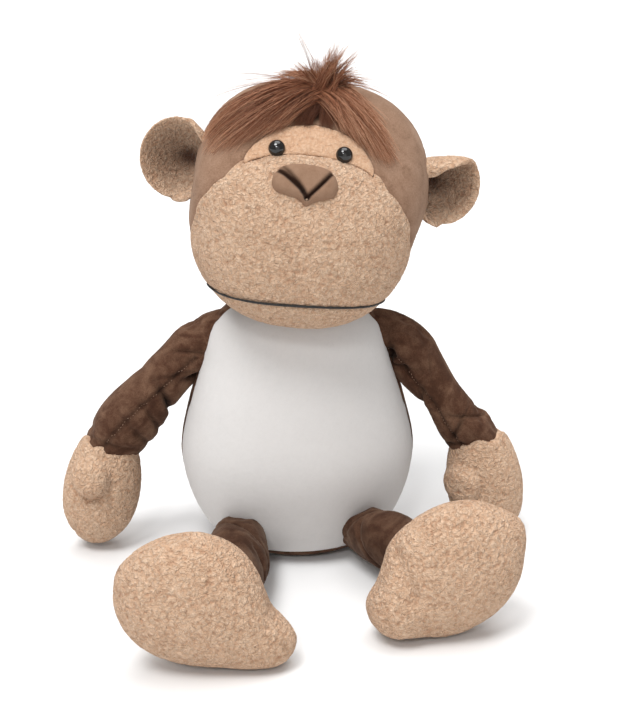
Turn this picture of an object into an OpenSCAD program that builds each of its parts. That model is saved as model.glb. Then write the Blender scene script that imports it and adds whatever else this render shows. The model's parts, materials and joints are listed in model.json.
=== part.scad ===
// A seated stuffed monkey: sewn covers over stuffing, with limbs, ears, head and tail that flop at their seams.
// Millimetres. The origin is the middle of the flat seat panel, on the surface the toy sits on.
// +Z is up, and the toy looks along -Y, so its own left side is at +X.

/* [Torso] */
// Half width of the belly at its widest
belly_half_w = 95.5; // [92:0.5:98]
// Half depth of the belly at its widest
belly_half_d = 76; // [73:0.5:79]
// Thickness of every sewn cover, pile included
cover_t = 2; // [1.5:0.1:2.4]
// Height of the layer of pellets in the seat
pellet_h = 24; // [18:1:30]

/* [Head] */
// Sideways tilt of the head, towards the toy's left
head_roll = 6.5; // [0:0.5:8]
// Radius of the ball of stuffing in the neck
neck_r = 30; // [26:1:32]
// Diameter of the plastic eyes
eye_d = 12; // [10:0.5:14]
// Height of the tuft of hair above the crown
tuft_h = 32; // [20:1:40]

/* [Limbs] */
// Radius of the arm where it is sewn to the shoulder
shoulder_r = 24; // [20:0.5:25]
// Radius of the arm at the wrist seam
wrist_r = 19; // [17:0.5:20]
// Radius of the leg where it is sewn to the hip
hip_r = 24; // [20:0.5:25]
// Radius of the leg at the ankle seam
ankle_r = 21; // [18:0.5:22]
// Length of a foot from heel to toes
foot_len = 130; // [120:1:134]
// Half width of a foot at its widest
foot_half_w = 49; // [44:0.5:51]
// Half thickness of a foot at its fattest
foot_half_t = 27; // [22:0.5:29]

/* [Hidden] */
$fn = 48;

brown = [0.30, 0.20, 0.15];
tan_terry = [0.80, 0.66, 0.54];
white_knit = [0.92, 0.92, 0.92];
stuffing = [0.96, 0.95, 0.90];
hair_brown = [0.36, 0.21, 0.15];
black = [0.05, 0.05, 0.05];

gap = 0.3;
left = 1;
right = -1;
torso_sides = 36;
head_sides = 32;
limb_sides = 16;

// Joint centres
neck_at = [3, 3, 205];
head_at = [8, -2, 296];
tail_at = [0, 62, 14];
function shoulder_at(side) = side == left ? [82, 0, 171] : [-82, 0, 177];
function wrist_at(side) = side == left ? [150, -12, 84] : [-155, -12, 84];
function hip_at(side) = side == left ? [52, -52, 29] : [-46, -56, 29];
function ankle_at(side) = side == left ? [110, -140, 38] : [-50, -178, 30];

// Turns of the hands and feet: about X first, then Y, then Z
function hand_turn(side) = side == left ? [-5, -8, 0] : [-3, 12, 0];
function heel_at(side) = side == left ? [53, -176, 13] : [-7, -211, 12];
function foot_rise(side) = side == left ? 30 : 27;
function foot_yaw(side) = side == left ? 6 : 0;

// ---- Lofted forms ----
// A form is a list of rings, each a list of points that runs round it the same way.

function powered(v, p) = sign(v) * pow(abs(v), p);

// An oval ring about c. u and v are its axes, and it may be fuller on one side of u than the other.
function oval(c, u, v, half_u, up, down, n, power = 2) = [
    for (k = [0 : n - 1])
        let (t = 360 * k / n, cu = powered(cos(t), 2 / power), sv = powered(sin(t), 2 / power))
            c + u * half_u * cu + v * (sv > 0 ? up : down) * sv
];

function unit(v) = v / norm(v);

// The outward normal of a form at ring i, point j
function out_of(form, i, j) =
    let (n = len(form[0]), m = len(form) - 1,
         round_it = form[i][(j + 1) % n] - form[i][(j + n - 1) % n],
         along_it = form[min(i + 1, m)][j] - form[max(i - 1, 0)][j])
    unit(cross(round_it, along_it));

// The form moved inwards by depth(i, j)
function skin(form, depth) = [
    for (i = [0 : len(form) - 1])
        [for (j = [0 : len(form[0]) - 1]) form[i][j] - out_of(form, i, j) * depth(i, j)]
];

function inset(form, d) = skin(form, function (i, j) d);

// The part of a form from ring a to ring b
function rings(form, a, b) = [for (i = [a : b]) form[i]];

all_cells = function (i, j) true;

// A solid form with closed ends
module stuffed(form) {
    n = len(form[0]);
    m = len(form) - 1;
    polyhedron(
        points = [for (ring = form) each ring],
        faces = concat(
            [for (i = [0 : m - 1], j = [0 : n - 1])
                [i * n + j, (i + 1) * n + j, (i + 1) * n + (j + 1) % n, i * n + (j + 1) % n]],
            [[for (j = [0 : n - 1]) j]],
            [[for (j = [n - 1 : -1 : 0]) m * n + j]]
        ),
        convexity = 6
    );
}

// A sewn panel: the cells of a form that pick(i, j) takes, between the outer and the inner surface.
// closed_start and closed_end add the first and last ring's end to the panel.
module panel(outer, inner, pick, closed_start = false, closed_end = false) {
    n = len(outer[0]);
    m = len(outer) - 1;
    k = n * (m + 1);
    function at(i, j) = i * n + (j + n) % n;
    function has(i, j) =
        i < 0 ? closed_start : i > m - 1 ? closed_end : pick(i, (j + n) % n);
    cells = [for (i = [0 : m - 1], j = [0 : n - 1]) if (has(i, j)) [i, j]];
    polyhedron(
        points = concat([for (ring = outer) each ring], [for (ring = inner) each ring]),
        faces = concat(
            [for (c = cells) let (i = c[0], j = c[1]) each [
                [at(i, j), at(i + 1, j), at(i + 1, j + 1), at(i, j + 1)],
                [k + at(i, j), k + at(i, j + 1), k + at(i + 1, j + 1), k + at(i + 1, j)]
            ]],
            [for (c = cells) let (i = c[0], j = c[1]) if (!has(i - 1, j))
                [at(i, j), at(i, j + 1), k + at(i, j + 1), k + at(i, j)]],
            [for (c = cells) let (i = c[0], j = c[1]) if (!has(i, j + 1))
                [at(i, j + 1), at(i + 1, j + 1), k + at(i + 1, j + 1), k + at(i, j + 1)]],
            [for (c = cells) let (i = c[0], j = c[1]) if (!has(i + 1, j))
                [at(i + 1, j + 1), at(i + 1, j), k + at(i + 1, j), k + at(i + 1, j + 1)]],
            [for (c = cells) let (i = c[0], j = c[1]) if (!has(i, j - 1))
                [at(i + 1, j), at(i, j), k + at(i, j), k + at(i + 1, j)]],
            closed_start ? [[for (j = [0 : n - 1]) j], [for (j = [n - 1 : -1 : 0]) k + j]] : [],
            closed_end ? [[for (j = [n - 1 : -1 : 0]) m * n + j],
                          [for (j = [0 : n - 1]) k + m * n + j]] : []
        ),
        convexity = 10
    );
}

module ball(at, r) {
    translate(at) sphere(r);
}

// The turn that takes +Z to direction d
function turn_to(d) = [asin(-d.y / norm(d)), atan2(d.x, d.z), 0];

// ---- Torso ----
// Each station is [height, half width, half depth].

torso_stations = [
    [0, 44, 36],
    [3, 54, 45],
    [8, 62, 52],
    [24, 77, 63],
    [50, 0.942 * belly_half_w, 0.947 * belly_half_d],
    [85, belly_half_w, belly_half_d],
    [120, 0.932 * belly_half_w, 0.921 * belly_half_d],
    [160, 77, 59],
    [190, 68, 50],
    [200, 61, 46],
    [206, 53, 41],
    [209, 43, 37]
];
torso_form = [
    for (s = torso_stations) oval([0, 0, s[0]], [1, 0, 0], [0, 1, 0], s[1], s[2], s[2], torso_sides)
];
torso_top = len(torso_stations) - 1;
seat_top = 2;
// The belly panel runs round the front, between the two side seams.
side_seam = 19;
function in_front(j) = j >= side_seam && j < torso_sides - 1;

module sockets() {
    difference() {
        children();
        ball(neck_at, neck_r + gap);
        for (side = [left, right]) {
            ball(shoulder_at(side), shoulder_r + gap);
            ball(hip_at(side), hip_r + gap);
        }
        ball(tail_at, tail_r + gap);
    }
}

module belly_panel() {
    color(white_knit) sockets()
        panel(torso_form, inset(torso_form, cover_t),
              function (i, j) i >= seat_top && in_front(j));
}

module back_panel() {
    color(brown) sockets()
        panel(torso_form, inset(torso_form, cover_t),
              function (i, j) i >= seat_top && !in_front(j));
}

// The oval panel that the toy sits on, with a flat base
module seat_panel() {
    raised = [
        for (i = [0 : seat_top])
            let (s = torso_stations[i])
                oval([0, 0, s[0] + cover_t * (1 - i / seat_top)], [1, 0, 0], [0, 1, 0],
                     s[1] - cover_t, s[2] - cover_t, s[2] - cover_t, torso_sides)
    ];
    color(brown) sockets()
        panel(rings(torso_form, 0, seat_top), raised, all_cells, closed_start = true);
}

// Ring i of a form, flattened to one height
function level_ring(form, i, h) = [for (p = form[i]) [p.x, p.y, h]];

module torso_filling() {
    core = inset(torso_form, cover_t + gap);
    color(stuffing) sockets()
        stuffed(concat([level_ring(inset(core, 2), 3, pellet_h + gap)], rings(core, 4, torso_top)));
}

// The bag of pellets keeps a little off the cover.
module pellet_bag() {
    bag = inset(torso_form, cover_t + 6);
    color("lightgray") sockets()
        stuffed([level_ring(bag, 1, 6), level_ring(bag, 2, 11), level_ring(bag, 3, pellet_h)]);
}

module neck_filling() {
    color(stuffing) ball(neck_at, neck_r);
}

// ---- Head ----
// In the head's own frame: +Z to the crown, -Y to the face. Each station is
// [distance back, half width, crown height, depth of the underside, height of the ring's middle].

head_stations = [
    [80, 6, 8, 8, 4],
    [76, 26, 26, 26, 4],
    [66, 50, 48, 44, 4],
    [50, 70, 66, 58, 4],
    [30, 83, 78, 70, 4],
    [8, 90, 84, 76, 4],
    [-14, 90, 82, 80, 2],
    [-34, 87, 71, 82, 0],
    [-50, 84, 57, 83, -4],
    [-64, 79, 41, 82, -10],
    [-76, 70, 26, 77, -16],
    [-86, 56, 9, 67, -22],
    [-93, 38, -4, 51, -26],
    [-97, 20, -14, 39, -27],
    [-99, 6, -22, 31, -27]
];
head_power = 2.4;
head_form = [
    for (s = head_stations)
        oval([0, s[0], s[4]], [1, 0, 0], [0, 0, 1], s[1], s[2] - s[4], s[3] + s[4], head_sides, head_power)
];
head_last = len(head_stations) - 1;
// Rings where the face begins and where the brow ends
face_ring = 8;
brow_ring = 10;
function in_brow(i, j) = i >= face_ring && i < brow_ring && j >= 4 && j < 12;
// Height of the mouth, where the muzzle is sewn to the chin
mouth_z = -64;

module under_mouth() {
    translate([-110, -110, mouth_z - 60]) cube([220, 110, 60]);
}

module head_frame() {
    translate(head_at) rotate([0, head_roll, 0]) children();
}

module on_head() {
    difference() {
        head_frame() children();
        ball(neck_at, neck_r + gap);
    }
}

module head_cover() {
    color(brown) on_head()
        panel(head_form, inset(head_form, cover_t),
              function (i, j) i < face_ring, closed_start = true);
}

eye_side = 24.5;
eye_height = 42;
eye_depth = -62;
eye_tilt = 56;
eye_splay = 16;
shank_r = 2.2;
washer_r = 7.5;

// The frame of one eye: +Z out of the face
module eye_frame(side) {
    head_frame()
        translate([side * eye_side, eye_depth, eye_height])
            rotate([0, 0, side * eye_splay]) rotate([eye_tilt, 0, 0]) children();
}

module brow_panel() {
    color(tan_terry) difference() {
        on_head() panel(head_form, inset(head_form, cover_t), function (i, j) in_brow(i, j));
        for (side = [left, right]) eye_frame(side) translate([0, 0, -14]) cylinder(h = 20, r = shank_r + 0.4);
    }
}

module muzzle_panel() {
    color(tan_terry) on_head() difference() {
        panel(head_form, inset(head_form, cover_t),
              function (i, j) i >= face_ring && !in_brow(i, j), closed_end = true);
        under_mouth();
    }
}

module chin_panel() {
    color(tan_terry) on_head() intersection() {
        panel(head_form, inset(head_form, cover_t),
              function (i, j) i >= face_ring && i <= mouth_last && j >= 16);
        under_mouth();
    }
}

module head_filling() {
    color(stuffing) difference() {
        on_head() stuffed(inset(head_form, cover_t + gap));
        for (side = [left, right]) eye_frame(side) translate([0, 0, -15]) cylinder(h = 25, r = washer_r + 0.5);
    }
}

// A safety eye: a dome on a shank that goes through the cover
module eye(side) {
    dome_r = eye_d / 2;
    color(black) eye_frame(side) {
        translate([0, 0, 1.2])
            rotate_extrude() polygon(concat(
                [[0, 0]],
                [for (a = [0 : 15 : 90]) [dome_r * cos(a), 0.8 + 4.2 * sin(a)]]
            ));
        translate([0, 0, -13]) cylinder(h = 14.6, r = shank_r);
    }
}

module eye_washer(side) {
    color("whitesmoke") eye_frame(side) translate([0, 0, -8])
        difference() {
            cylinder(h = 1.5, r = washer_r);
            translate([0, 0, -1]) cylinder(h = 4, r = shank_r + 0.05);
        }
}

// The embroidered mouth lies along the seam between muzzle and chin.
thread_r = 1.8;
mouth_last = 11;
mouth_front = -87.5;
function mouth_half_w(s) =
    s[1] * pow(1 - pow((s[4] - mouth_z) / (s[3] + s[4]), head_power), 1 / head_power);
function mouth_side(side, i) = [side * mouth_half_w(head_stations[i]), head_stations[i][0], mouth_z];

module mouth_thread() {
    seam = concat(
        [for (i = [face_ring : mouth_last]) mouth_side(right, i)],
        [[0, mouth_front, mouth_z]],
        [for (i = [mouth_last : -1 : face_ring]) mouth_side(left, i)]
    );
    last = len(seam) - 1;
    thread = [
        for (k = [0 : last])
            let (along = unit(seam[min(k + 1, last)] - seam[max(k - 1, 0)]),
                 out = cross(along, [0, 0, -1]))
                oval(seam[k] + out * 1.4, out, cross(along, out), thread_r, thread_r, thread_r, 6)
    ];
    color(black) head_frame() difference() {
        stuffed(thread);
        stuffed(inset(head_form, -0.05));
    }
}

// The nose: a small padded form on the front of the muzzle, wide at the top and pointed below
nose_at = [0, -78, 20];
nose_stations = [
    [14, 10, 3, 2, 0],
    [6, 21, 10, 11, 0],
    [-5, 24.5, 13, 15, -1],
    [-11, 20, 11, 13, -3],
    [-15, 12, 7, 8, -5],
    [-17, 4, 2, 2, -6]
];
nose_form = [
    for (s = nose_stations)
        oval(nose_at + [0, s[0], s[4]], [1, 0, 0], [0, 0, 1], s[1], s[2], s[3], 20)
];

module nose_cover() {
    color(brown) head_frame() difference() {
        stuffed(nose_form);
        stuffed(inset(head_form, -gap));
        stuffed(inset(nose_form, 1.5));
    }
}

module nose_filling() {
    color(stuffing) head_frame() difference() {
        stuffed(inset(nose_form, 1.5 + gap));
        stuffed(inset(head_form, -2 * gap));
    }
}

// The hair lies over the front of the crown and rises to a tuft over its middle.
hair_front = face_ring;
hair_back = 4;
tuft_ring = 6;
tuft_cell = 8;

module hair_tuft() {
    function hair_h(i, j) =
        4 + tuft_h * exp(-pow((i - tuft_ring) / 0.9, 2) - pow((j - tuft_cell) / 1.1, 2));
    color(hair_brown) head_frame()
        panel(skin(head_form, function (i, j) -hair_h(i, j)), inset(head_form, -gap),
              function (i, j) i >= hair_back && i < hair_front && j >= 4 && j < 12);
}

// ---- Ears ----
// Each ear is two shallow bowls of cover, back to back, that open to the front.

ear_at = [107, 4, 17];
ear_half_w = 28;
ear_gap = 1.2;
ear_half_h = 29;
ear_bowl = 9;
ear_t = 3;

module ear_bowl_panel(side, back) {
    steps = [0.12, 0.45, 0.75, 0.93, 1];
    function bowl(front) = [
        for (k = steps)
            oval(ear_at + [0, front - ear_bowl * k * k, 0], [1, 0, 0], [0, 0, 1],
                 ear_half_w * k, ear_half_h * k, ear_half_h * k, 20)
    ];
    color(tan_terry) head_frame() difference() {
        mirror([side == left ? 0 : 1, 0, 0])
            panel(bowl(back + ear_t), bowl(back), all_cells, closed_start = true);
        stuffed(inset(head_form, -ear_gap));
    }
}

// ---- Arms and hands ----
// A limb runs from a ball at its root, along +Z, to a ball at its far seam. It is gathered in where
// it leaves the root seam.

function limb(length, root_r, mid_r, end_r, sides) =
    let (profile = concat(
        [for (a = [-75 : 25 : 50]) [root_r * sin(a), root_r * cos(a)]],
        [[1.2 * root_r, 0.66 * root_r], [1.7 * root_r, mid_r], [0.65 * length, mid_r],
         [length, end_r]],
        [for (a = [25 : 25 : 75]) [length + end_r * sin(a), end_r * cos(a)]]))
    [for (s = profile) oval([0, 0, s[0]], [1, 0, 0], [0, 1, 0], s[1], s[1], s[1], sides)];

module limb_cover(form) {
    panel(form, inset(form, cover_t), all_cells);
}

function arm_form(side) =
    limb(norm(wrist_at(side) - shoulder_at(side)), shoulder_r, 19, wrist_r, limb_sides);

module arm_frame(side) {
    translate(shoulder_at(side)) rotate(turn_to(wrist_at(side) - shoulder_at(side))) children();
}

module sleeve(side) {
    color(brown) arm_frame(side) limb_cover(arm_form(side));
}

module arm_filling(side) {
    color(stuffing) arm_frame(side) stuffed(inset(arm_form(side), cover_t + gap));
}

// Each station is [distance below the wrist, half width, half thickness].
hand_stations = [
    [81, 3, 3],
    [78, 11, 9],
    [71, 21, 15],
    [57, 30, 21],
    [38, 33, 23],
    [20, 28, 23],
    [7, 23, 22]
];
hand_form = [
    for (s = hand_stations)
        oval([0, 0, -s[0]], [1, 0, 0], [0, 1, 0], s[1], s[2], s[2], limb_sides)
];
// The thumb is a swelling on the front of the hand.
thumb_ring = 4;
thumb_cell = 12;
thumb_h = 7;
function thumb(i, j) =
    -thumb_h * exp(-pow((i - thumb_ring) / 1.1, 2) - pow((j - thumb_cell) / 1.5, 2));
thumbed_hand = skin(hand_form, function (i, j) thumb(i, j));

module hand_frame(side) {
    translate(wrist_at(side)) rotate(hand_turn(side)) children();
}

module hand(side) {
    color(tan_terry) hand_frame(side) difference() {
        panel(thumbed_hand, inset(thumbed_hand, cover_t), all_cells, closed_start = true);
        sphere(wrist_r + gap);
    }
}

module hand_filling(side) {
    color(stuffing) hand_frame(side) difference() {
        stuffed(inset(thumbed_hand, cover_t + gap));
        sphere(wrist_r + gap);
    }
}

// ---- Legs and feet ----

function leg_form(side) =
    limb(norm(ankle_at(side) - hip_at(side)), hip_r, 21, ankle_r, limb_sides);

module leg_frame(side) {
    translate(hip_at(side)) rotate(turn_to(ankle_at(side) - hip_at(side))) children();
}

module leg(side) {
    color(brown) leg_frame(side) limb_cover(leg_form(side));
}

module leg_filling(side) {
    color(stuffing) leg_frame(side) stuffed(inset(leg_form(side), cover_t + gap));
}

// A foot in its own frame: +Z from heel to toes, the sole faces -Y.
// Each station is [share of the length, share of the half width, share of the half thickness].
foot_stations = [
    [0, 0.09, 0.15],
    [0.03, 0.26, 0.42],
    [0.1, 0.34, 0.62],
    [0.22, 0.44, 0.74],
    [0.36, 0.72, 0.88],
    [0.5, 0.93, 0.98],
    [0.65, 1, 1],
    [0.8, 0.9, 0.93],
    [0.92, 0.62, 0.68],
    [0.985, 0.28, 0.32],
    [1, 0.08, 0.1]
];
foot_form = [
    for (s = foot_stations)
        oval([0, 0, s[0] * foot_len], [1, 0, 0], [0, 1, 0],
             s[1] * foot_half_w, s[2] * foot_half_t, s[2] * foot_half_t, 18)
];

module foot_frame(side) {
    translate(heel_at(side)) rotate([0, 0, side * foot_yaw(side)])
        rotate([0, side * (90 - foot_rise(side)), 0]) children();
}

module foot_piece(side) {
    difference() {
        foot_frame(side) children();
        ball(ankle_at(side), ankle_r + gap);
    }
}

module sole(side) {
    color(tan_terry) foot_piece(side)
        panel(foot_form, inset(foot_form, cover_t), function (i, j) j >= 9,
              closed_end = false);
}

module foot_top(side) {
    color(tan_terry) foot_piece(side)
        panel(foot_form, inset(foot_form, cover_t), function (i, j) j < 9);
}

module foot_filling(side) {
    color(stuffing) foot_piece(side) stuffed(inset(foot_form, cover_t + gap));
}

// ---- Tail ----
// The tail leaves the seat behind and curls round on the ground.

tail_r = 11;
tail_end_r = 8.5;
tail_path = [
    [0, 62, 14], [0, 76, 12.5], [-3, 92, 11.5], [-12, 108, 11], [-28, 121, 10.5],
    [-48, 127, 10.2], [-68, 122, 10], [-82, 108, 10]
];

function tail_ring(k, r, shift) =
    let (last = len(tail_path) - 1,
         along = unit(tail_path[min(k + 1, last)] - tail_path[max(k - 1, 0)]),
         side = unit(cross(along, [0, 0, 1])),
         up = cross(side, along))
    oval(tail_path[k] + along * shift, side, -up, r, r, r, 12);

tail_form = concat(
    [for (a = [-70 : 35 : -35]) tail_ring(0, tail_r * cos(a), tail_r * sin(a))],
    [for (k = [0 : len(tail_path) - 1])
        tail_ring(k, tail_r + (tail_end_r - tail_r) * k / (len(tail_path) - 1), 0)],
    [for (a = [35 : 35 : 70])
        tail_ring(len(tail_path) - 1, tail_end_r * cos(a), tail_end_r * sin(a))]
);
tail_start = 2;
tail_last = len(tail_form) - 1;

module tail_cover() {
    form = rings(tail_form, tail_start, tail_last);
    color(brown) panel(form, inset(form, cover_t), all_cells, closed_end = true);
}

module tail_filling() {
    color(stuffing) stuffed(inset(tail_form, cover_t + gap));
}

belly_panel();
back_panel();
seat_panel();
torso_filling();
pellet_bag();
neck_filling();
head_cover();
brow_panel();
muzzle_panel();
chin_panel();
mouth_thread();
head_filling();
nose_cover();
nose_filling();
hair_tuft();
eye(left);  // left_eye
eye(right);  // right_eye
eye_washer(left);  // left_eye_washer
eye_washer(right);  // right_eye_washer
ear_bowl_panel(left, 0);  // left_ear_front
ear_bowl_panel(left, ear_t + gap);  // left_ear_back
ear_bowl_panel(right, 0);  // right_ear_front
ear_bowl_panel(right, ear_t + gap);  // right_ear_back
sleeve(left);  // left_sleeve
arm_filling(left);  // left_arm_filling
sleeve(right);  // right_sleeve
arm_filling(right);  // right_arm_filling
hand(left);  // left_hand
hand_filling(left);  // left_hand_filling
hand(right);  // right_hand
hand_filling(right);  // right_hand_filling
leg(left);  // left_leg
leg_filling(left);  // left_leg_filling
leg(right);  // right_leg
leg_filling(right);  // right_leg_filling
sole(left);  // left_sole
foot_top(left);  // left_foot_top
foot_filling(left);  // left_foot_filling
sole(right);  // right_sole
foot_top(right);  // right_foot_top
foot_filling(right);  // right_foot_filling
tail_cover();
tail_filling();
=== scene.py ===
import json
import math

import bmesh
import bpy
import numpy as np
from mathutils import Matrix, Vector
from mathutils.bvhtree import BVHTree


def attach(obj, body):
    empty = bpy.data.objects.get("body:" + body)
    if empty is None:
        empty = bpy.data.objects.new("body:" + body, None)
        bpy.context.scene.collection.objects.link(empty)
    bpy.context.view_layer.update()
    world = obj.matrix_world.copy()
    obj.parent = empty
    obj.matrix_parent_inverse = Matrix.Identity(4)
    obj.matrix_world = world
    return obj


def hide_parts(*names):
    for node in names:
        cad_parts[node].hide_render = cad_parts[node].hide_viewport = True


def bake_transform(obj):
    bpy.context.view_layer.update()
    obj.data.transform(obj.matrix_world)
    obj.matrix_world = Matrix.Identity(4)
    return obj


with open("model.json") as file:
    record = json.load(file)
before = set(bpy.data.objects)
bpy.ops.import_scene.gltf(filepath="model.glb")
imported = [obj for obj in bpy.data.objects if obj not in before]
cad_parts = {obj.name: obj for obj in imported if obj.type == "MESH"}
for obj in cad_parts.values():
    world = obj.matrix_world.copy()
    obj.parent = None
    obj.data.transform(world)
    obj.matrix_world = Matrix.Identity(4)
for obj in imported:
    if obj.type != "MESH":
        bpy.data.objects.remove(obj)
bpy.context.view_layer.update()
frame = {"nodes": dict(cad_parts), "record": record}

# ---- The table, the camera and the light ----
# The toy sits on a wide white table in soft light from all round, with more of it from above and in
# front. The camera stands a little above the toy and looks down at its belly.
scene = bpy.context.scene
scene.view_settings.view_transform = "Standard"

camera = bpy.data.objects.new("camera", bpy.data.cameras.new("camera"))
camera.data.sensor_fit = "HORIZONTAL"
camera.data.sensor_width = 36
camera.data.lens = 78.3
camera.location = (0.003, -1.0726, 0.519)
look = (
    Matrix.Rotation(math.radians(-0.875), 3, "Z") @ Matrix.Rotation(math.radians(90 - 18.58), 3, "X")
    @ Matrix.Rotation(math.radians(-0.49), 3, "Z")
)
camera.rotation_euler = look.to_euler()
scene.collection.objects.link(camera)
scene.camera = camera


def nodes_of(tree, kind, **settings):
    """A new node of that kind in a tree, with its settings."""
    node = tree.nodes.new(kind)
    for key, value in settings.items():
        setattr(node, key, value)
    return node


def plug(tree, source, target):
    """Joins a socket, or sets a plain value, on an input."""
    if isinstance(source, bpy.types.NodeSocket):
        tree.links.new(source, target)
    else:
        target.default_value = source


def math_node(tree, operation, *values, clamp=False):
    """The result of one Math node."""
    node = nodes_of(tree, "ShaderNodeMath", operation=operation, use_clamp=clamp)
    for value, socket in zip(values, node.inputs):
        plug(tree, value, socket)
    return node.outputs[0]


def new_material(name, **surface):
    """A material and its Principled shader, with plain values set on the shader's own sockets."""
    material = bpy.data.materials.new(name)
    material.use_nodes = True
    shader = material.node_tree.nodes["Principled BSDF"]
    for key, value in surface.items():
        shader.inputs[key.replace("_", " ")].default_value = value
    return material, material.node_tree, shader


def grain(tree, size, detail=2.0, distortion=0.0, stretch=(1, 1, 1)):
    """Noise of that size in metres, on the piece's own coordinates."""
    spot = nodes_of(tree, "ShaderNodeTexCoord").outputs["Object"]
    if stretch != (1, 1, 1):
        mapping = nodes_of(tree, "ShaderNodeMapping")
        mapping.inputs["Scale"].default_value = stretch
        tree.links.new(spot, mapping.inputs["Vector"])
        spot = mapping.outputs["Vector"]
    noise = nodes_of(tree, "ShaderNodeTexNoise")
    noise.inputs["Scale"].default_value = 1 / size
    noise.inputs["Detail"].default_value = detail
    noise.inputs["Distortion"].default_value = distortion
    tree.links.new(spot, noise.inputs["Vector"])
    return noise.outputs["Fac"]


world = bpy.data.worlds.new("studio")
world.use_nodes = True
world.node_tree.nodes["Background"].inputs["Color"].default_value = (1, 1, 1, 1)
world.node_tree.nodes["Background"].inputs["Strength"].default_value = 0.36
scene.world = world

for name, power, spread, turn in (
    ("key", 2.0, 24, (27, 0, -35)),
    ("fill", 0.36, 50, (74, 0, 8)),
    ("top", 1.9, 50, (-10, 4, 0)),
    ("spark", 0.5, 8, (52, 0, -12)),
):
    lamp = bpy.data.lights.new(name, "SUN")
    lamp.energy = power
    lamp.angle = math.radians(spread)
    light = bpy.data.objects.new(name, lamp)
    light.rotation_euler = [math.radians(a) for a in turn]
    scene.collection.objects.link(light)

table_material, tree, shader = new_material("table_top", Roughness=0.9)
shade = grain(tree, 0.4)
mix = nodes_of(tree, "ShaderNodeMix", data_type="RGBA")
mix.inputs["A"].default_value = (0.80, 0.80, 0.80, 1)
mix.inputs["B"].default_value = (0.83, 0.83, 0.83, 1)
plug(tree, shade, mix.inputs["Factor"])
plug(tree, mix.outputs["Result"], shader.inputs["Base Color"])
table = bpy.data.objects.new("table", bpy.data.meshes.new("table"))
table.data.from_pydata([(-9, -9, 0), (9, -9, 0), (9, 9, 0), (-9, 9, 0)], [], [(0, 1, 2, 3)])
table.data.materials.append(table_material)
scene.collection.objects.link(table)


# ---- Body ----
# A pear-shaped bag of pale knit in front and brown pile behind, closed by an oval seat panel. It is
# stuffed firmly, with a bag of pellets in the seat, and its seams run down both sides.
MM = 0.001
ALL_MM = Matrix.Scale(MM, 4)
X, Y, Z = np.eye(3)


def oval(centre, u, v, half_u, up, down, count, power=2.0):
    """A ring of points about centre, with its axes along u and v."""
    turn = np.arange(count) * 2 * np.pi / count
    across = np.sign(np.cos(turn)) * np.abs(np.cos(turn)) ** (2 / power)
    along = np.sign(np.sin(turn)) * np.abs(np.sin(turn)) ** (2 / power)
    along = np.where(along > 0, up, down) * along
    return np.asarray(centre) + np.outer(across * half_u, u) + np.outer(along, v)


def smooth_run(rows, count):
    """Rows of numbers, joined by one smooth run of that many rows at even steps."""
    rows = np.array(rows, float)
    place = np.r_[0, np.cumsum(np.linalg.norm(np.diff(rows, axis=0), axis=1))]
    slope = np.gradient(rows, place, axis=0)
    at = np.linspace(0, place[-1], count)
    k = np.clip(np.searchsorted(place, at, side="right") - 1, 0, len(rows) - 2)
    step = (place[k + 1] - place[k])[:, None]
    t = ((at - place[k]) / step[:, 0])[:, None]
    return (
        (2 * t**3 - 3 * t**2 + 1) * rows[k] + (t**3 - 2 * t**2 + t) * step * slope[k]
        + (3 * t**2 - 2 * t**3) * rows[k + 1] + (t**3 - t**2) * step * slope[k + 1]
    )


def outward(grid):
    """The outward normals of a grid of rings."""
    round_it = np.roll(grid, -1, 1) - np.roll(grid, 1, 1)
    along = np.gradient(grid, axis=0)
    normal = np.cross(round_it, along)
    return normal / np.maximum(np.linalg.norm(normal, axis=2, keepdims=True), 1e-9)


def even_end(form, grid, verts, rows, panel):
    """Closes a form with a square patch of even cells over its last rows, in place of a pole."""
    rings, sides, _ = grid.shape
    last, half = rings - 1 - rows, sides // 8
    patch = {}
    for a in range(-half, half + 1):
        for b in range(-half, half + 1):
            size = max(abs(a), abs(b))
            if size == 0:
                patch[a, b] = form.verts.new(grid[-1].mean(0))
                continue
            if abs(a) >= abs(b):
                turn = b / a + (0 if a > 0 else 4)
            else:
                turn = (2 if b > 0 else 6) - a / b
            column = turn * half % sides
            if size == half:
                patch[a, b] = verts[last][round(column) % sides]
                continue
            row = last + (1 - size / half) * rows
            i, j = min(int(row), rings - 2), int(column)
            p, q = row - i, column - j
            two = [grid[k][j % sides] * (1 - q) + grid[k][(j + 1) % sides] * q for k in (i, i + 1)]
            patch[a, b] = form.verts.new(two[0] * (1 - p) + two[1] * p)
    for a in range(-half, half):
        for b in range(-half, half):
            corners = [patch[a, b], patch[a + 1, b], patch[a + 1, b + 1], patch[a, b + 1]]
            form.faces.new(corners).material_index = panel(rings - 2, 0)


def bag(grid, panel=lambda i, j: 0, even_rows=0):
    """A closed mesh over a grid of rings, in millimetres. panel(i, j) numbers the panel of a cell."""
    if even_rows:
        whole, grid = grid, grid[:-even_rows]
    rings, sides, _ = grid.shape
    form = bmesh.new()
    verts = [[form.verts.new(p) for p in ring] for ring in grid]
    for i in range(rings - 1):
        for j in range(sides):
            k = (j + 1) % sides
            face = form.faces.new((verts[i][j], verts[i][k], verts[i + 1][k], verts[i + 1][j]))
            face.material_index = panel(i, j)
    if even_rows:
        even_end(form, whole, verts, even_rows, panel)
    for i, way in ((0, -1), (rings - 1, 1))[:1 if even_rows else 2]:
        pole = form.verts.new(grid[i].mean(0))
        for j in range(sides):
            k = (j + 1) % sides
            pair = (verts[i][j], verts[i][k]) if way == 1 else (verts[i][k], verts[i][j])
            form.faces.new((pole, *pair)).material_index = panel(min(i, rings - 2), j)
    form.normal_update()
    return form


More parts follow.
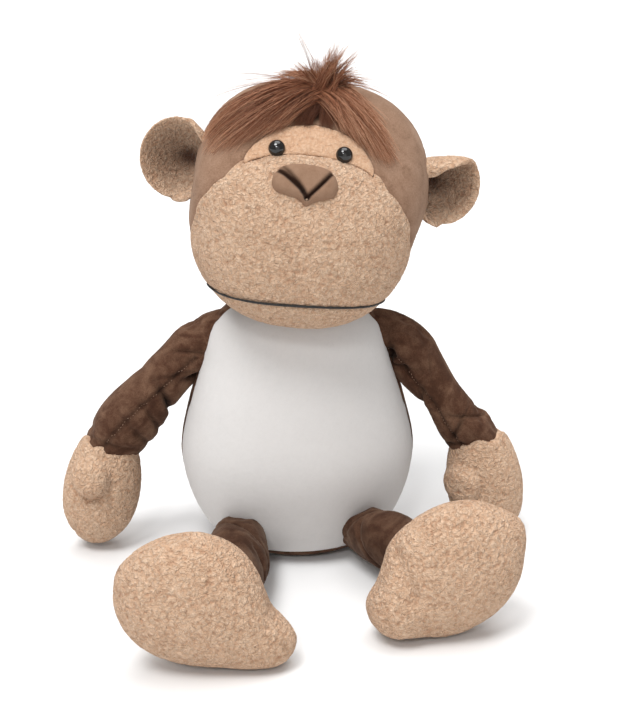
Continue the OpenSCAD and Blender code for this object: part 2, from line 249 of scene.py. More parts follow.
def plump(grid, cap, pins=None, pressure=4.0, grow=0.0, frames=20):
    """The grid as cloth blown up by its stuffing. Points move no further than cap millimetres, and
    those in pins (0 free to 1 held) stay back."""
    form = bag(grid * MM)
    work = bpy.data.objects.new("stuffing_work", bpy.data.meshes.new("stuffing_work"))
    form.to_mesh(work.data)
    form.free()
    scene.collection.objects.link(work)
    cloth = work.modifiers.new("cloth", "CLOTH")
    held = work.vertex_groups.new(name="held")
    if pins is not None:
        flat = np.asarray(pins).reshape(-1)
        for weight in np.unique(flat[flat > 0]):
            held.add([int(i) for i in np.nonzero(flat == weight)[0]], float(weight), "REPLACE")
        cloth.settings.vertex_group_mass = "held"
    cloth.settings.quality = 4
    cloth.settings.mass = 0.25
    cloth.settings.use_pressure = True
    cloth.settings.uniform_pressure_force = pressure
    cloth.settings.shrink_min = -grow
    cloth.settings.tension_stiffness = 18
    cloth.settings.compression_stiffness = 18
    cloth.settings.bending_stiffness = 0.4
    cloth.settings.effector_weights.gravity = 0
    for number in range(1, frames + 1):
        scene.frame_set(number)
    blown = work.evaluated_get(bpy.context.evaluated_depsgraph_get()).to_mesh()
    count = grid.shape[0] * grid.shape[1]
    points = np.empty(len(blown.vertices) * 3)
    blown.vertices.foreach_get("co", points)
    points = points.reshape(-1, 3)[:count].reshape(grid.shape) / MM
    bpy.data.objects.remove(work)
    scene.frame_set(1)
    move = points - grid
    far = np.linalg.norm(move, axis=2, keepdims=True)
    return grid + move * np.minimum(1, cap / np.maximum(far, 1e-9))


# A tree that raises the pile of a cloth in curls, and keeps how high each point stands as "pile"
pile_tree = bpy.data.node_groups.new("raise_pile", "GeometryNodeTree")
socket_of = {}
for label, kind in (
    ("Cloth", "Geometry"), ("Pile height", "Float"), ("Curl size", "Float"), ("Curl sharpness", "Float"),
    ("Place", "Vector"), ("Finish", "Material"),
):
    socket = pile_tree.interface.new_socket(label, in_out="INPUT", socket_type="NodeSocket" + kind)
    socket_of[label] = socket.identifier
pile_tree.interface.new_socket("Cloth", in_out="OUTPUT", socket_type="NodeSocketGeometry")
given = nodes_of(pile_tree, "NodeGroupInput").outputs
result = nodes_of(pile_tree, "NodeGroupOutput").inputs
spot = nodes_of(pile_tree, "ShaderNodeVectorMath", operation="ADD")
plug(pile_tree, nodes_of(pile_tree, "GeometryNodeInputPosition").outputs[0], spot.inputs[0])
plug(pile_tree, given["Place"], spot.inputs[1])
noise = nodes_of(pile_tree, "ShaderNodeTexNoise")
noise.inputs["Detail"].default_value = 1.5
noise.inputs["Distortion"].default_value = 0.9
plug(pile_tree, spot.outputs[0], noise.inputs["Vector"])
plug(pile_tree, math_node(pile_tree, "DIVIDE", 1.0, given["Curl size"]), noise.inputs["Scale"])
ridge = math_node(pile_tree, "ABSOLUTE", math_node(
    pile_tree, "MULTIPLY_ADD", noise.outputs["Fac"], 2.0, -1.0))
ridge = math_node(pile_tree, "MULTIPLY", ridge, given["Curl sharpness"], clamp=True)
ridge = math_node(pile_tree, "SUBTRACT", 1.0, ridge)
clump = nodes_of(pile_tree, "ShaderNodeTexNoise")
clump.inputs["Detail"].default_value = 1.0
plug(pile_tree, spot.outputs[0], clump.inputs["Vector"])
plug(pile_tree, math_node(pile_tree, "DIVIDE", 0.3, given["Curl size"]), clump.inputs["Scale"])
rise = math_node(pile_tree, "MULTIPLY_ADD", clump.outputs["Fac"], 0.7, -0.35)
rise = math_node(pile_tree, "ADD", rise, math_node(pile_tree, "MULTIPLY", ridge, 0.75), clamp=True)
lift = math_node(pile_tree, "MULTIPLY", rise, given["Pile height"])
push = nodes_of(pile_tree, "ShaderNodeVectorMath", operation="SCALE")
plug(pile_tree, nodes_of(pile_tree, "GeometryNodeInputNormal").outputs[0], push.inputs[0])
plug(pile_tree, lift, push.inputs["Scale"])
moved = nodes_of(pile_tree, "GeometryNodeSetPosition")
kept = nodes_of(pile_tree, "GeometryNodeStoreNamedAttribute", data_type="FLOAT", domain="POINT")
kept.inputs["Name"].default_value = "pile"
plug(pile_tree, given["Cloth"], kept.inputs["Geometry"])
plug(pile_tree, rise, kept.inputs["Value"])
plug(pile_tree, kept.outputs[0], moved.inputs["Geometry"])
plug(pile_tree, push.outputs[0], moved.inputs["Offset"])
real = nodes_of(pile_tree, "GeometryNodeRealizeInstances")
finish = nodes_of(pile_tree, "GeometryNodeSetMaterial")
plug(pile_tree, moved.outputs[0], real.inputs[0])
plug(pile_tree, real.outputs[0], finish.inputs["Geometry"])
plug(pile_tree, given["Finish"], finish.inputs["Material"])
plug(pile_tree, finish.outputs[0], result[0])


def plain_mesh(name, work, place):
    """The piece that an object's modifiers give, as a plain mesh in its place."""
    view = bpy.context.evaluated_depsgraph_get()
    mesh = bpy.data.meshes.new_from_object(work.evaluated_get(view), depsgraph=view)
    mesh.name = name
    mesh.transform(place)
    bpy.data.objects.remove(work)
    piece = bpy.data.objects.new(name, mesh)
    scene.collection.objects.link(piece)
    return piece


def sewn(name, form, finish, keep=None, tuck=1.8, wall=1.5, level=1, pile=(1.2, 3.0, 2.2),
         place=ALL_MM):
    """A panel of pile cloth: the faces of a closed form that keep(face) takes. Its edges are tucked
    in at the seams, and pile is the height, the curl size and the sharpness of its curls."""
    form = form.copy()
    if keep:
        form.faces.index_update()
        kept = [keep(f) for f in form.faces]
        edge = [v for v in form.verts if len({kept[f.index] for f in v.link_faces}) == 2]
        for vert, normal in [(v, v.normal.copy()) for v in edge]:
            vert.co -= normal * tuck
        bmesh.ops.delete(form, geom=[f for f in form.faces if not kept[f.index]], context="FACES")
    for face in form.faces:
        face.smooth = True
        face.material_index = 0
    work = bpy.data.objects.new("sewing", bpy.data.meshes.new("sewing"))
    form.to_mesh(work.data)
    form.free()
    scene.collection.objects.link(work)
    if keep:
        fold = work.modifiers.new("wall", "SOLIDIFY")
        fold.thickness = wall
        fold.offset = -1
    soften = work.modifiers.new("soften", "SUBSURF")
    soften.levels = soften.render_levels = level
    raised = work.modifiers.new("pile", "NODES")
    raised.node_group = pile_tree
    for label, value in zip(("Pile height", "Curl size", "Curl sharpness"), pile):
        raised[socket_of[label]] = float(value)
    raised[socket_of["Place"]] = [float(len(name) * 37), 11.0, 5.0]
    raised[socket_of["Finish"]] = finish
    return plain_mesh(name, work, place)


def mark_painted_shade(form, depth):
    """Stores a painted shade for each grid point of a form, from 0 to 1, in its "fold" attribute, which darkens its
    colour.
    """
    layer = form.verts.layers.float.new("fold")
    for vert, value in zip(form.verts, np.clip(depth, 0, 1).reshape(-1)):
        vert[layer] = value
    for vert in list(form.verts)[depth.size:]:
        vert[layer] = min(edge.other_vert(vert)[layer] for edge in vert.link_edges)


def stuffed_piece(piece, body, covers):
    """The piece stands for those CAD nodes, which are hidden. It moves with the body, unless that is None."""
    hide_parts(*covers)
    if body:
        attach(piece, body)


# The colouring of a pile, from its roots to its tips as it stands higher: painted shade in the valleys of its curls
# and painted light on their tops, random tone over crushed patches and fibres.
# The "fold" attribute darkens it with painted shade in creases and hollows.
pile_shade = bpy.data.node_groups.new("pile_shade", "ShaderNodeTree")
for label, kind in (
    ("Root", "Color"), ("Body", "Color"), ("Tip", "Color"), ("Crush size", "Float"),
    ("Crush", "Float"), ("Fibre size", "Float"), ("Fibre", "Float"), ("Curl size", "Float"),
    ("Curl", "Float"),
):
    pile_shade.interface.new_socket(label, in_out="INPUT", socket_type="NodeSocket" + kind)
for label, kind in (("Colour", "Color"), ("Height", "Float")):
    pile_shade.interface.new_socket(label, in_out="OUTPUT", socket_type="NodeSocket" + kind)
given = nodes_of(pile_shade, "NodeGroupInput").outputs
result = nodes_of(pile_shade, "NodeGroupOutput").inputs
spot = nodes_of(pile_shade, "ShaderNodeTexCoord").outputs["Object"]
fields = {}
for label, detail, distortion in (("Crush", 3.0, 1.4), ("Fibre", 2.0, 0.3), ("Curl", 1.0, 1.1)):
    noise = nodes_of(pile_shade, "ShaderNodeTexNoise")
    noise.inputs["Detail"].default_value = detail
    noise.inputs["Distortion"].default_value = distortion
    plug(pile_shade, spot, noise.inputs["Vector"])
    plug(pile_shade, math_node(pile_shade, "DIVIDE", 1.0, given[label + " size"]), noise.inputs["Scale"])
    fields[label] = math_node(pile_shade, "MULTIPLY_ADD", noise.outputs["Fac"], 1.0, -0.5)
warped = nodes_of(pile_shade, "ShaderNodeVectorMath", operation="MULTIPLY_ADD")
spread = nodes_of(pile_shade, "ShaderNodeCombineXYZ")
for axis in range(3):
    plug(pile_shade, math_node(pile_shade, "MULTIPLY", given["Curl size"], 1.8), spread.inputs[axis])
plug(pile_shade, noise.outputs["Color"], warped.inputs[0])
plug(pile_shade, spread.outputs[0], warped.inputs[1])
plug(pile_shade, spot, warped.inputs[2])
lumps = nodes_of(pile_shade, "ShaderNodeTexVoronoi", feature="SMOOTH_F1")
lumps.inputs["Smoothness"].default_value = 0.5
plug(pile_shade, math_node(pile_shade, "DIVIDE", 1.0, given["Curl size"]), lumps.inputs["Scale"])
plug(pile_shade, warped.outputs[0], lumps.inputs["Vector"])
fields["Curl"] = math_node(pile_shade, "SUBTRACT", 0.5, lumps.outputs["Distance"])
pile_height = nodes_of(pile_shade, "ShaderNodeAttribute", attribute_name="pile").outputs["Fac"]
level = math_node(pile_shade, "MULTIPLY_ADD", pile_height, 0.3, 0.42)
for label in ("Crush", "Fibre", "Curl"):
    level = math_node(pile_shade, "MULTIPLY_ADD", fields[label], given[label], level)
# where the pile stands low it takes the Root colour: painted shade in the valleys between its curls
colour = given["Root"]
for target, low, high in (("Body", 0.0, 0.5), ("Tip", 0.5, 1.0)):
    ramp = nodes_of(pile_shade, "ShaderNodeMapRange")
    plug(pile_shade, level, ramp.inputs["Value"])
    ramp.inputs["From Min"].default_value = low
    ramp.inputs["From Max"].default_value = high
    mix = nodes_of(pile_shade, "ShaderNodeMix", data_type="RGBA")
    plug(pile_shade, ramp.outputs[0], mix.inputs["Factor"])
    plug(pile_shade, colour, mix.inputs["A"])
    plug(pile_shade, given[target], mix.inputs["B"])
    colour = mix.outputs["Result"]
# painted shade: the "fold" attribute multiplies the colour towards this dark brown
deep = nodes_of(pile_shade, "ShaderNodeMix", data_type="RGBA", blend_type="MULTIPLY")
plug(pile_shade, nodes_of(pile_shade, "ShaderNodeAttribute", attribute_name="fold").outputs["Fac"],
     deep.inputs["Factor"])
plug(pile_shade, colour, deep.inputs["A"])
deep.inputs["B"].default_value = (0.10, 0.07, 0.06, 1)
plug(pile_shade, deep.outputs["Result"], result["Colour"])
relief = math_node(pile_shade, "MULTIPLY", fields["Fibre"], math_node(
    pile_shade, "MULTIPLY", given["Fibre"], 0.6))
relief = math_node(pile_shade, "MULTIPLY_ADD", fields["Curl"], math_node(
    pile_shade, "MULTIPLY", given["Curl"], 2.0), relief)
plug(pile_shade, relief, result["Height"])


def pile_cloth(name, root, body, tip, crush=(0.03, 0.5), fibre=(0.0012, 0.5), curl=(0.002, 0.0),
               bump=0.5, depth=0.0006, sheen=0.1, sheen_tint=(1, 1, 1)):
    """A material of pile cloth. crush, fibre and curl are each a size in metres and a strength."""
    material, tree, shader = new_material(
        name, Roughness=0.95, Sheen_Weight=sheen, Sheen_Roughness=0.45, Sheen_Tint=(*sheen_tint, 1),
        Specular_IOR_Level=0.12)
    group = nodes_of(tree, "ShaderNodeGroup", node_tree=pile_shade)
    for label, value in (
        ("Root", (*root, 1)), ("Body", (*body, 1)), ("Tip", (*tip, 1)), ("Crush size", crush[0]),
        ("Crush", crush[1]), ("Fibre size", fibre[0]), ("Fibre", fibre[1]), ("Curl size", curl[0]),
        ("Curl", curl[1]),
    ):
        group.inputs[label].default_value = value
    plug(tree, group.outputs["Colour"], shader.inputs["Base Color"])
    relief = nodes_of(tree, "ShaderNodeBump")
    relief.inputs["Strength"].default_value = bump
    relief.inputs["Distance"].default_value = depth
    plug(tree, group.outputs["Height"], relief.inputs["Height"])
    plug(tree, relief.outputs[0], shader.inputs["Normal"])
    return material


# the Root colour of each pile is the painted shade of its low places
white_knit = pile_cloth("white_knit", (0.55, 0.532, 0.520), (0.62, 0.602, 0.589), (0.67, 0.652, 0.639),
                        crush=(0.05, 0.3), fibre=(0.0009, 0.3), bump=0.25, depth=0.0003, sheen=0.05)
brown_pile = pile_cloth("brown_pile", (0.016, 0.0055, 0.0030), (0.070, 0.031, 0.018),
                        (0.185, 0.105, 0.066), crush=(0.022, 1.05), fibre=(0.0008, 0.5),
                        bump=0.8, sheen=0.12, sheen_tint=(0.95, 0.72, 0.55))
head_pile = pile_cloth("head_pile", (0.12, 0.064, 0.038), (0.25, 0.148, 0.096), (0.33, 0.21, 0.145),
                       crush=(0.02, 0.9), fibre=(0.0011, 0.9), bump=0.9, sheen=0.1,
                       sheen_tint=(0.95, 0.8, 0.65))
tan_terry = pile_cloth("tan_terry", (0.36, 0.18, 0.10), (0.57, 0.37, 0.245), (0.76, 0.56, 0.405),
                       crush=(0.02, 0.25), fibre=(0.0009, 0.35), curl=(0.0026, 0.75), bump=0.9,
                       depth=0.0020, sheen=0.08)
brow_terry = pile_cloth("brow_terry", (0.36, 0.18, 0.10), (0.53, 0.325, 0.205), (0.66, 0.46, 0.32),
                        crush=(0.02, 0.3), fibre=(0.0009, 0.35), curl=(0.0020, 0.6), bump=0.8,
                        depth=0.0010, sheen=0.08)

SIDE_SEAM = -9
SEAT_SEAM = 9
body_stations = [
    (0, 20, 16), (0, 44, 36), (3, 54, 45), (8, 62, 52), (24, 78, 64), (50, 90, 72), (85, 95.5, 76),
    (120, 89, 70), (160, 77, 59), (190, 67, 49), (201, 58, 43), (208, 46, 36), (212, 36, 30),
    (220, 28, 26), (234, 25, 23),
]
body_grid = np.array([
    oval((0, 0, h), X, Y, half_w, half_d, half_d, 96)
    for h, half_w, half_d in smooth_run(body_stations, 60)
])
body_grid[:, :, 2] = np.maximum(body_grid[:, :, 2], 0)
seam_pins = np.zeros(body_grid.shape[:2])
seam_pins[np.abs(body_grid[:, :, 1] - SIDE_SEAM) < 3] = 1
seam_pins[body_grid[:, :, 2] < SEAT_SEAM + 1] = 1
seam_pins[body_grid[:, :, 2] > 198] = 1
body_grid = plump(body_grid, 3.0, seam_pins)
body_form = bag(body_grid)


def cut(form, point, normal):
    """Cuts all the faces of a form along a plane, for a seam."""
    bmesh.ops.bisect_plane(form, geom=form.verts[:] + form.edges[:] + form.faces[:], dist=0.01,
                           plane_co=point, plane_no=normal)
    form.normal_update()


def centre(face):
    return face.calc_center_median()


cut(body_form, (0, SIDE_SEAM, 0), (0, 1, 0))
cut(body_form, (0, 0, SEAT_SEAM), (0, 0, 1))
belly = sewn("belly", body_form, white_knit, lambda f: centre(f).z > SEAT_SEAM and centre(f).y < SIDE_SEAM,
             level=2, pile=(0.35, 1.6, 1.4))
stuffed_piece(belly, "torso", ["belly_panel", "torso_filling", "neck_filling"])
back = sewn("back", body_form, brown_pile, lambda f: centre(f).z > SEAT_SEAM and centre(f).y > SIDE_SEAM,
            pile=(0.8, 5.0, 1.3))
stuffed_piece(back, "torso", ["back_panel"])
seat = sewn("seat", body_form, brown_pile, lambda f: centre(f).z < SEAT_SEAM, pile=(0.2, 5.0, 1.3))
stuffed_piece(seat, "torso", ["seat_panel"])
body_form.free()


# ---- Head ----
# A round head of brown pile behind, and a big muzzle of curly tan terry in front. The brow above it
# is a finer terry, and the chin is sewn on along the mouth.
HEAD = (Matrix.Translation((8 * MM, -2 * MM, 296 * MM)) @ Matrix.Rotation(math.radians(6.5), 4, "Y")
        @ ALL_MM)
MOUTH = -66
# (distance back, half width, crown, underside, height of the middle)
head_stations = [
    (84, 3, 6, 6, 4), (80, 14, 18, 16, 4), (74, 32, 36, 33, 4), (64, 52, 54, 50, 4),
    (48, 71, 69, 61, 4), (30, 83, 79, 70, 4), (8, 90, 85, 77, 4), (-14, 90, 82, 82, 2),
    (-34, 87, 72, 86, 0), (-50, 84.5, 58, 88, -4), (-64, 80, 43, 88, -10), (-76, 71, 29, 84, -16),
    (-86, 57, 12, 74, -22), (-93, 40, -3, 58, -26), (-97, 22, -14, 42, -27), (-99, 7, -22, 32, -27),
    (-99.3, 0.5, -26.5, 27.5, -27),
]
# where the face panels meet the head cover: (angle up from the side of the head, distance back)
face_seam = [
    (-90, -40), (-25, -44), (-11, -51), (-3, -61), (17, -69), (39, -71), (54, -66.5), (60, -61),
    (71, -54), (81, -50), (90, -48),
]
HEAD_SIDES, COVER_ROWS, BROW_ROWS, FACE_ROWS = 112, 34, 7, 24
profile = smooth_run(head_stations, 400)
angle = np.arange(HEAD_SIDES) * 360 / HEAD_SIDES
up_angle = 90 - np.abs((angle + 90) % 360 - 180)
seam_y = np.interp(up_angle, *zip(*face_seam))
brow_y = np.minimum(-66.5 - 2 * np.minimum((90 - up_angle) / 36, 1) ** 2, seam_y - 3.0)


def head_ring_rows(count, start, end, ease):
    """For each side, rows of the head profile from one distance back to another, as shares of it."""
    shares = np.linspace(0, 1, count + 1) ** ease
    where = np.interp(-np.stack([start, end]), -profile[:, 0], np.arange(400))
    return where[0] + np.outer(shares, where[1] - where[0])


rows = np.concatenate([
    head_ring_rows(COVER_ROWS, np.full(HEAD_SIDES, 84.0), seam_y, 1)[:-1],
    head_ring_rows(BROW_ROWS, seam_y, brow_y, 1)[:-1],
    head_ring_rows(FACE_ROWS, brow_y, np.full(HEAD_SIDES, -99.3), 1),
])
y, half_w, crown, under, mid = (np.interp(rows, np.arange(400), column) for column in profile.T)
across, along = np.cos(np.radians(angle)), np.sin(np.radians(angle))
across = np.sign(across) * np.abs(across) ** (2 / 2.4)
along = np.sign(along) * np.abs(along) ** (2 / 2.4)
head_grid = np.stack([
    across * half_w, y, mid + np.where(along > 0, crown - mid, under + mid) * along,
], axis=2)
# the face is fuller than the cover just inside its seam, and the muzzle than the brow
normal = outward(head_grid)
row = np.arange(len(rows))[:, None]
is_brow = (np.abs(angle - 90) < 36)[None, :]
full = 3.0 * np.clip((row - COVER_ROWS) / 2.5, 0, 1) * np.where(is_brow, 0.25, 1)
full = np.where(is_brow & (row > COVER_ROWS + BROW_ROWS),
                0.75 + 2.25 * np.clip((row - COVER_ROWS - BROW_ROWS) / 3.0, 0, 1), full)
full = full * np.clip((len(rows) - 1 - row) / 8, 0, 1)
head_grid = head_grid + normal * full[:, :, None]
head_pins = np.zeros(head_grid.shape[:2])
head_pins[COVER_ROWS] = 1
head_pins[COVER_ROWS + BROW_ROWS, is_brow[0]] = 1
head_pins[(row > COVER_ROWS) & (np.abs(head_grid[:, :, 2] - MOUTH) < 3)] = 1
head_grid = plump(head_grid, 2.5, head_pins)
# the cover sits a little to the left of the face, and the muzzle narrows
head_grid[:, :, 0] += 5 * np.clip((head_grid[:, :, 1] + 62) / 40, 0, 1) * np.clip(head_grid[:, :, 2] / 30 + 1, 0, 1)
head_grid[:, :, 0] *= 1 - 0.045 * np.clip((-46 - head_grid[:, :, 1]) / 22, 0, 1)


def head_panel(i, j):
    """0 for the cover, 1 for the muzzle, 2 for the brow."""
    if i < COVER_ROWS:
        return 0
    return 2 if i < COVER_ROWS + BROW_ROWS and is_brow[0][j] and is_brow[0][(j + 1) % HEAD_SIDES] else 1


head_form = bag(head_grid, head_panel, FACE_ROWS - 8)
# painted shade on the cover under the parting of the hair, set in the "fold" attribute
painted_shade_under_parting = 0.85 * np.exp(-((head_grid[:, :, 0] - 2) / 20) ** 4 - ((head_grid[:, :, 1] + 42) / 14) ** 4)
mark_painted_shade(head_form, (painted_shade_under_parting * (row < COVER_ROWS) * (head_grid[:, :, 2] > 20))[:8 - FACE_ROWS])
cut(head_form, (0, 0, MOUTH), (0, 0, 1))
head_skin = BVHTree.FromBMesh(head_form)
head_cover = sewn("head", head_form, head_pile, lambda f: f.material_index == 0, place=HEAD,
                  pile=(0.8, 5.0, 1.3))
stuffed_piece(head_cover, "head", ["head_cover", "head_filling"])
brow = sewn("brow", head_form, brow_terry, lambda f: f.material_index == 2, place=HEAD, level=2,
            pile=(0.7, 3.0, 2.0), tuck=0.3)
stuffed_piece(brow, "head", ["brow_panel"])
muzzle = sewn("muzzle", head_form, tan_terry,
              lambda f: f.material_index == 1 and centre(f).z > MOUTH, place=HEAD,
              level=2, pile=(1.2, 4.0, 2.2), tuck=1.2)
stuffed_piece(muzzle, "head", ["muzzle_panel"])
chin = sewn("chin", head_form, tan_terry, lambda f: f.material_index == 1 and centre(f).z < MOUTH,
            place=HEAD, level=2, pile=(1.2, 2.4, 2.0))
stuffed_piece(chin, "head", ["chin_panel"])

# A tree that lays stitches along a path, each one across it at a slant
stitch_tree = bpy.data.node_groups.new("lay_stitches", "GeometryNodeTree")
stitch_socket = {}
for label, kind in (
    ("Seam", "Geometry"), ("Pitch", "Float"), ("Size", "Vector"), ("Slant", "Float"),
    ("Uneven", "Float"), ("Thin ends", "Float"), ("Thread", "Material"),
):
    socket = stitch_tree.interface.new_socket(label, in_out="INPUT", socket_type="NodeSocket" + kind)
    stitch_socket[label] = socket.identifier
stitch_tree.interface.new_socket("Stitches", in_out="OUTPUT", socket_type="NodeSocketGeometry")
given = nodes_of(stitch_tree, "NodeGroupInput").outputs
result = nodes_of(stitch_tree, "NodeGroupOutput").inputs
path = nodes_of(stitch_tree, "GeometryNodeMeshToCurve")
plug(stitch_tree, given["Seam"], path.inputs[0])
spaced = nodes_of(stitch_tree, "GeometryNodeResampleCurve", mode="LENGTH")
plug(stitch_tree, path.outputs[0], spaced.inputs["Curve"])
plug(stitch_tree, given["Pitch"], spaced.inputs["Length"])
thread = nodes_of(stitch_tree, "GeometryNodeMeshUVSphere")
thread.inputs["Segments"].default_value = 6
thread.inputs["Rings"].default_value = 5
thread.inputs["Radius"].default_value = 1.0
along = nodes_of(stitch_tree, "FunctionNodeAlignRotationToVector", axis="Y")
plug(stitch_tree, nodes_of(stitch_tree, "GeometryNodeInputTangent").outputs[0], along.inputs["Vector"])
lean = nodes_of(stitch_tree, "FunctionNodeAxisAngleToRotation")
lean.inputs["Axis"].default_value = (0, 0, 1)
chance = nodes_of(stitch_tree, "FunctionNodeRandomValue", data_type="FLOAT")
plug(stitch_tree, -1.0, chance.inputs[2])
plug(stitch_tree, 1.0, chance.inputs[3])
chance.inputs["Seed"].default_value = 5
plug(stitch_tree, math_node(stitch_tree, "MULTIPLY_ADD", chance.outputs[1], given["Uneven"],
                            given["Slant"]), lean.inputs["Angle"])
turned = nodes_of(stitch_tree, "FunctionNodeRotateRotation", rotation_space="LOCAL")
plug(stitch_tree, along.outputs[0], turned.inputs[0])
plug(stitch_tree, lean.outputs[0], turned.inputs[1])
share = nodes_of(stitch_tree, "GeometryNodeSplineParameter").outputs["Factor"]
swell = math_node(stitch_tree, "SINE", math_node(stitch_tree, "MULTIPLY", share, math.pi))
swell = math_node(stitch_tree, "POWER", math_node(stitch_tree, "MAXIMUM", swell, 0.0), 0.6)
swell = math_node(stitch_tree, "MULTIPLY", math_node(stitch_tree, "SUBTRACT", swell, 1.0),
                  given["Thin ends"])
swell = math_node(stitch_tree, "ADD", swell, 1.0)
sized = nodes_of(stitch_tree, "ShaderNodeVectorMath", operation="SCALE")
plug(stitch_tree, given["Size"], sized.inputs[0])
plug(stitch_tree, swell, sized.inputs["Scale"])
laid = nodes_of(stitch_tree, "GeometryNodeInstanceOnPoints")
plug(stitch_tree, spaced.outputs[0], laid.inputs["Points"])
plug(stitch_tree, thread.outputs[0], laid.inputs["Instance"])
plug(stitch_tree, turned.outputs[0], laid.inputs["Rotation"])
plug(stitch_tree, sized.outputs[0], laid.inputs["Scale"])
real = nodes_of(stitch_tree, "GeometryNodeRealizeInstances")
finish = nodes_of(stitch_tree, "GeometryNodeSetMaterial")
plug(stitch_tree, laid.outputs[0], real.inputs[0])
plug(stitch_tree, real.outputs[0], finish.inputs["Geometry"])
plug(stitch_tree, given["Thread"], finish.inputs["Material"])
plug(stitch_tree, finish.outputs[0], result[0])


def stitched(name, path, thread, pitch, size, slant=0.0, uneven=0.15, thin_ends=0.0, place=ALL_MM):
    """Stitches along a path in millimetres. size is (half length across, half length along, half
    thickness) of one stitch."""
    work = bpy.data.objects.new("stitching", bpy.data.meshes.new("stitching"))
    work.data.from_pydata([tuple(p) for p in path], [(k, k + 1) for k in range(len(path) - 1)], [])
    scene.collection.objects.link(work)
    laid = work.modifiers.new("stitches", "NODES")
    laid.node_group = stitch_tree
    for label, value in (
        ("Pitch", float(pitch)), ("Size", [float(v) for v in size]), ("Slant", float(slant)),
        ("Uneven", float(uneven)), ("Thin ends", float(thin_ends)), ("Thread", thread),
    ):
        laid[stitch_socket[label]] = value
    piece = plain_mesh(name, work, place)
    for face in piece.data.polygons:
        face.use_smooth = True
    return piece


def thread_look(name, colour, shine):
    """A material of twisted sewing thread."""
    material, tree, shader = new_material(name, Roughness=0.55, Sheen_Weight=0.2,
                                          Specular_IOR_Level=shine)
    fibres = grain(tree, 0.0006, 3.0)
    mix = nodes_of(tree, "ShaderNodeMix", data_type="RGBA")
    mix.inputs["A"].default_value = (*[0.5 * c for c in colour], 1)
    mix.inputs["B"].default_value = (*[1.5 * c for c in colour], 1)
    plug(tree, fibres, mix.inputs["Factor"])
    plug(tree, mix.outputs["Result"], shader.inputs["Base Color"])
    relief = nodes_of(tree, "ShaderNodeBump")
    relief.inputs["Strength"].default_value = 0.4
    relief.inputs["Distance"].default_value = 0.0002
    plug(tree, fibres, relief.inputs["Height"])
    plug(tree, relief.outputs[0], shader.inputs["Normal"])
    return material


def on_head(point, lift=0.0):
    """The nearest place on the head to a point, raised by lift."""
    place, normal, _, _ = head_skin.find_nearest(Vector(point))
    return place + normal * lift


black_thread = thread_look("black_thread", (0.012, 0.011, 0.010), 0.4)
mouth_path = []
for a in np.linspace(-1.5, 1.5, 80):
    way = Vector((math.sin(a), -math.cos(a), 0))
    place, normal, _, _ = head_skin.ray_cast(Vector((0, -40, MOUTH + 1.2 * math.sin(2 * a))), way)
    mouth_path.append(place + normal * 0.7)
mouth = stitched("mouth", mouth_path, black_thread, 0.8, (1.7, 0.9, 0.9), slant=0.5, uneven=0.25,
                 thin_ends=0.6, place=HEAD)
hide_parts("mouth_thread")
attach(mouth, "head")


# ---- Nose ----
# A small cushion of smooth brown velour on the top of the muzzle. Two deep folds run from its upper
# corners to the point below, and leave a smooth wedge between them.
nose_outline = [
    (0, 16.2), (11, 15.2), (19, 12.2), (23.3, 6), (24.6, -1), (22.3, -6.8), (14, -10.8), (7, -13.4),
    (2.4, -16.4), (-4, -11.8), (-14, -9.2), (-22, -6.2), (-24.6, -1), (-23.8, 6), (-19.5, 12),
    (-11, 15.4), (0, 16.2),
]
nose_folds = [
    ([(-21, 9), (-15, 5.2), (-9, 0.6), (-3, -4.3), (0.5, -8.5), (1.6, -11)], 4.2, 1.7),
    ([(-16.5, 11), (-10.5, 5.5), (-5, 0), (-1, -6)], 1.8, 1.3),
    ([(19, 10), (14.5, 3.6), (8.5, -3.6), (4, -8.5), (2.2, -11)], 4.0, 1.4),
]


def nose_rise(u, v):
    """How far the nose stands out at (u, v) of its face, without its rounding at the rim."""
    height = 10.5 + 0.05 * v
    for fold, depth, width in nose_folds:
        near = 1e9
        for (ax, ay), (bx, by) in zip(fold, fold[1:]):
            t = ((u - ax) * (bx - ax) + (v - ay) * (by - ay)) / ((bx - ax) ** 2 + (by - ay) ** 2)
            t = min(1, max(0, t))
            near = min(near, math.hypot(u - ax - t * (bx - ax), v - ay - t * (by - ay)))
        height -= depth * math.exp(-((near / width) ** 2))
    return height


NOSE_FACE = Matrix.Translation((-2, -81, 19.5)) @ Matrix.Rotation(math.radians(58), 4, "X")
rim = smooth_run(nose_outline, 97)[:-1]
nose_form = bmesh.new()
nose_rings = []
for share in np.r_[np.linspace(0.04, 0.9, 26), 0.95, 0.985, 1.0, 1.0]:
    ring = []
    for u, v in rim:
        round_off = (1 - share**5) ** 0.5 if len(nose_rings) < 29 else -0.6
        ring.append((u * share, v * share, nose_rise(u * share, v * share) * round_off))
    nose_rings.append(ring)
nose_grid = np.array(nose_rings)
nose_form = bag(nose_grid[::-1])
# painted shade in the folds: the "fold" attribute darkens each point by how deep it lies in them
painted_shade_layer = nose_form.verts.layers.float.new("fold")
for vert in nose_form.verts:
    full_rise = 10.5 + 0.05 * vert.co.y
    inside_rim = math.hypot(vert.co.x / 24.6, vert.co.y / 16.4) < 0.98
    vert[painted_shade_layer] = min(1.0, max(0.0, (full_rise - nose_rise(vert.co.x, vert.co.y)) / 2.6)) * inside_rim
    vert.co = NOSE_FACE @ vert.co
nose_form.normal_update()
bmesh.ops.recalc_face_normals(nose_form, faces=nose_form.faces)
nose_velour = pile_cloth("nose_velour", (0.11, 0.055, 0.034), (0.235, 0.138, 0.088),
                         (0.31, 0.20, 0.135), crush=(0.012, 0.5), fibre=(0.0006, 0.3), bump=0.3,
                         sheen=0.1, sheen_tint=(0.95, 0.8, 0.65))
nose = sewn("nose", nose_form, nose_velour, level=1, pile=(0.15, 1.5, 1.3), place=HEAD)
stuffed_piece(nose, "head", ["nose_cover", "nose_filling"])


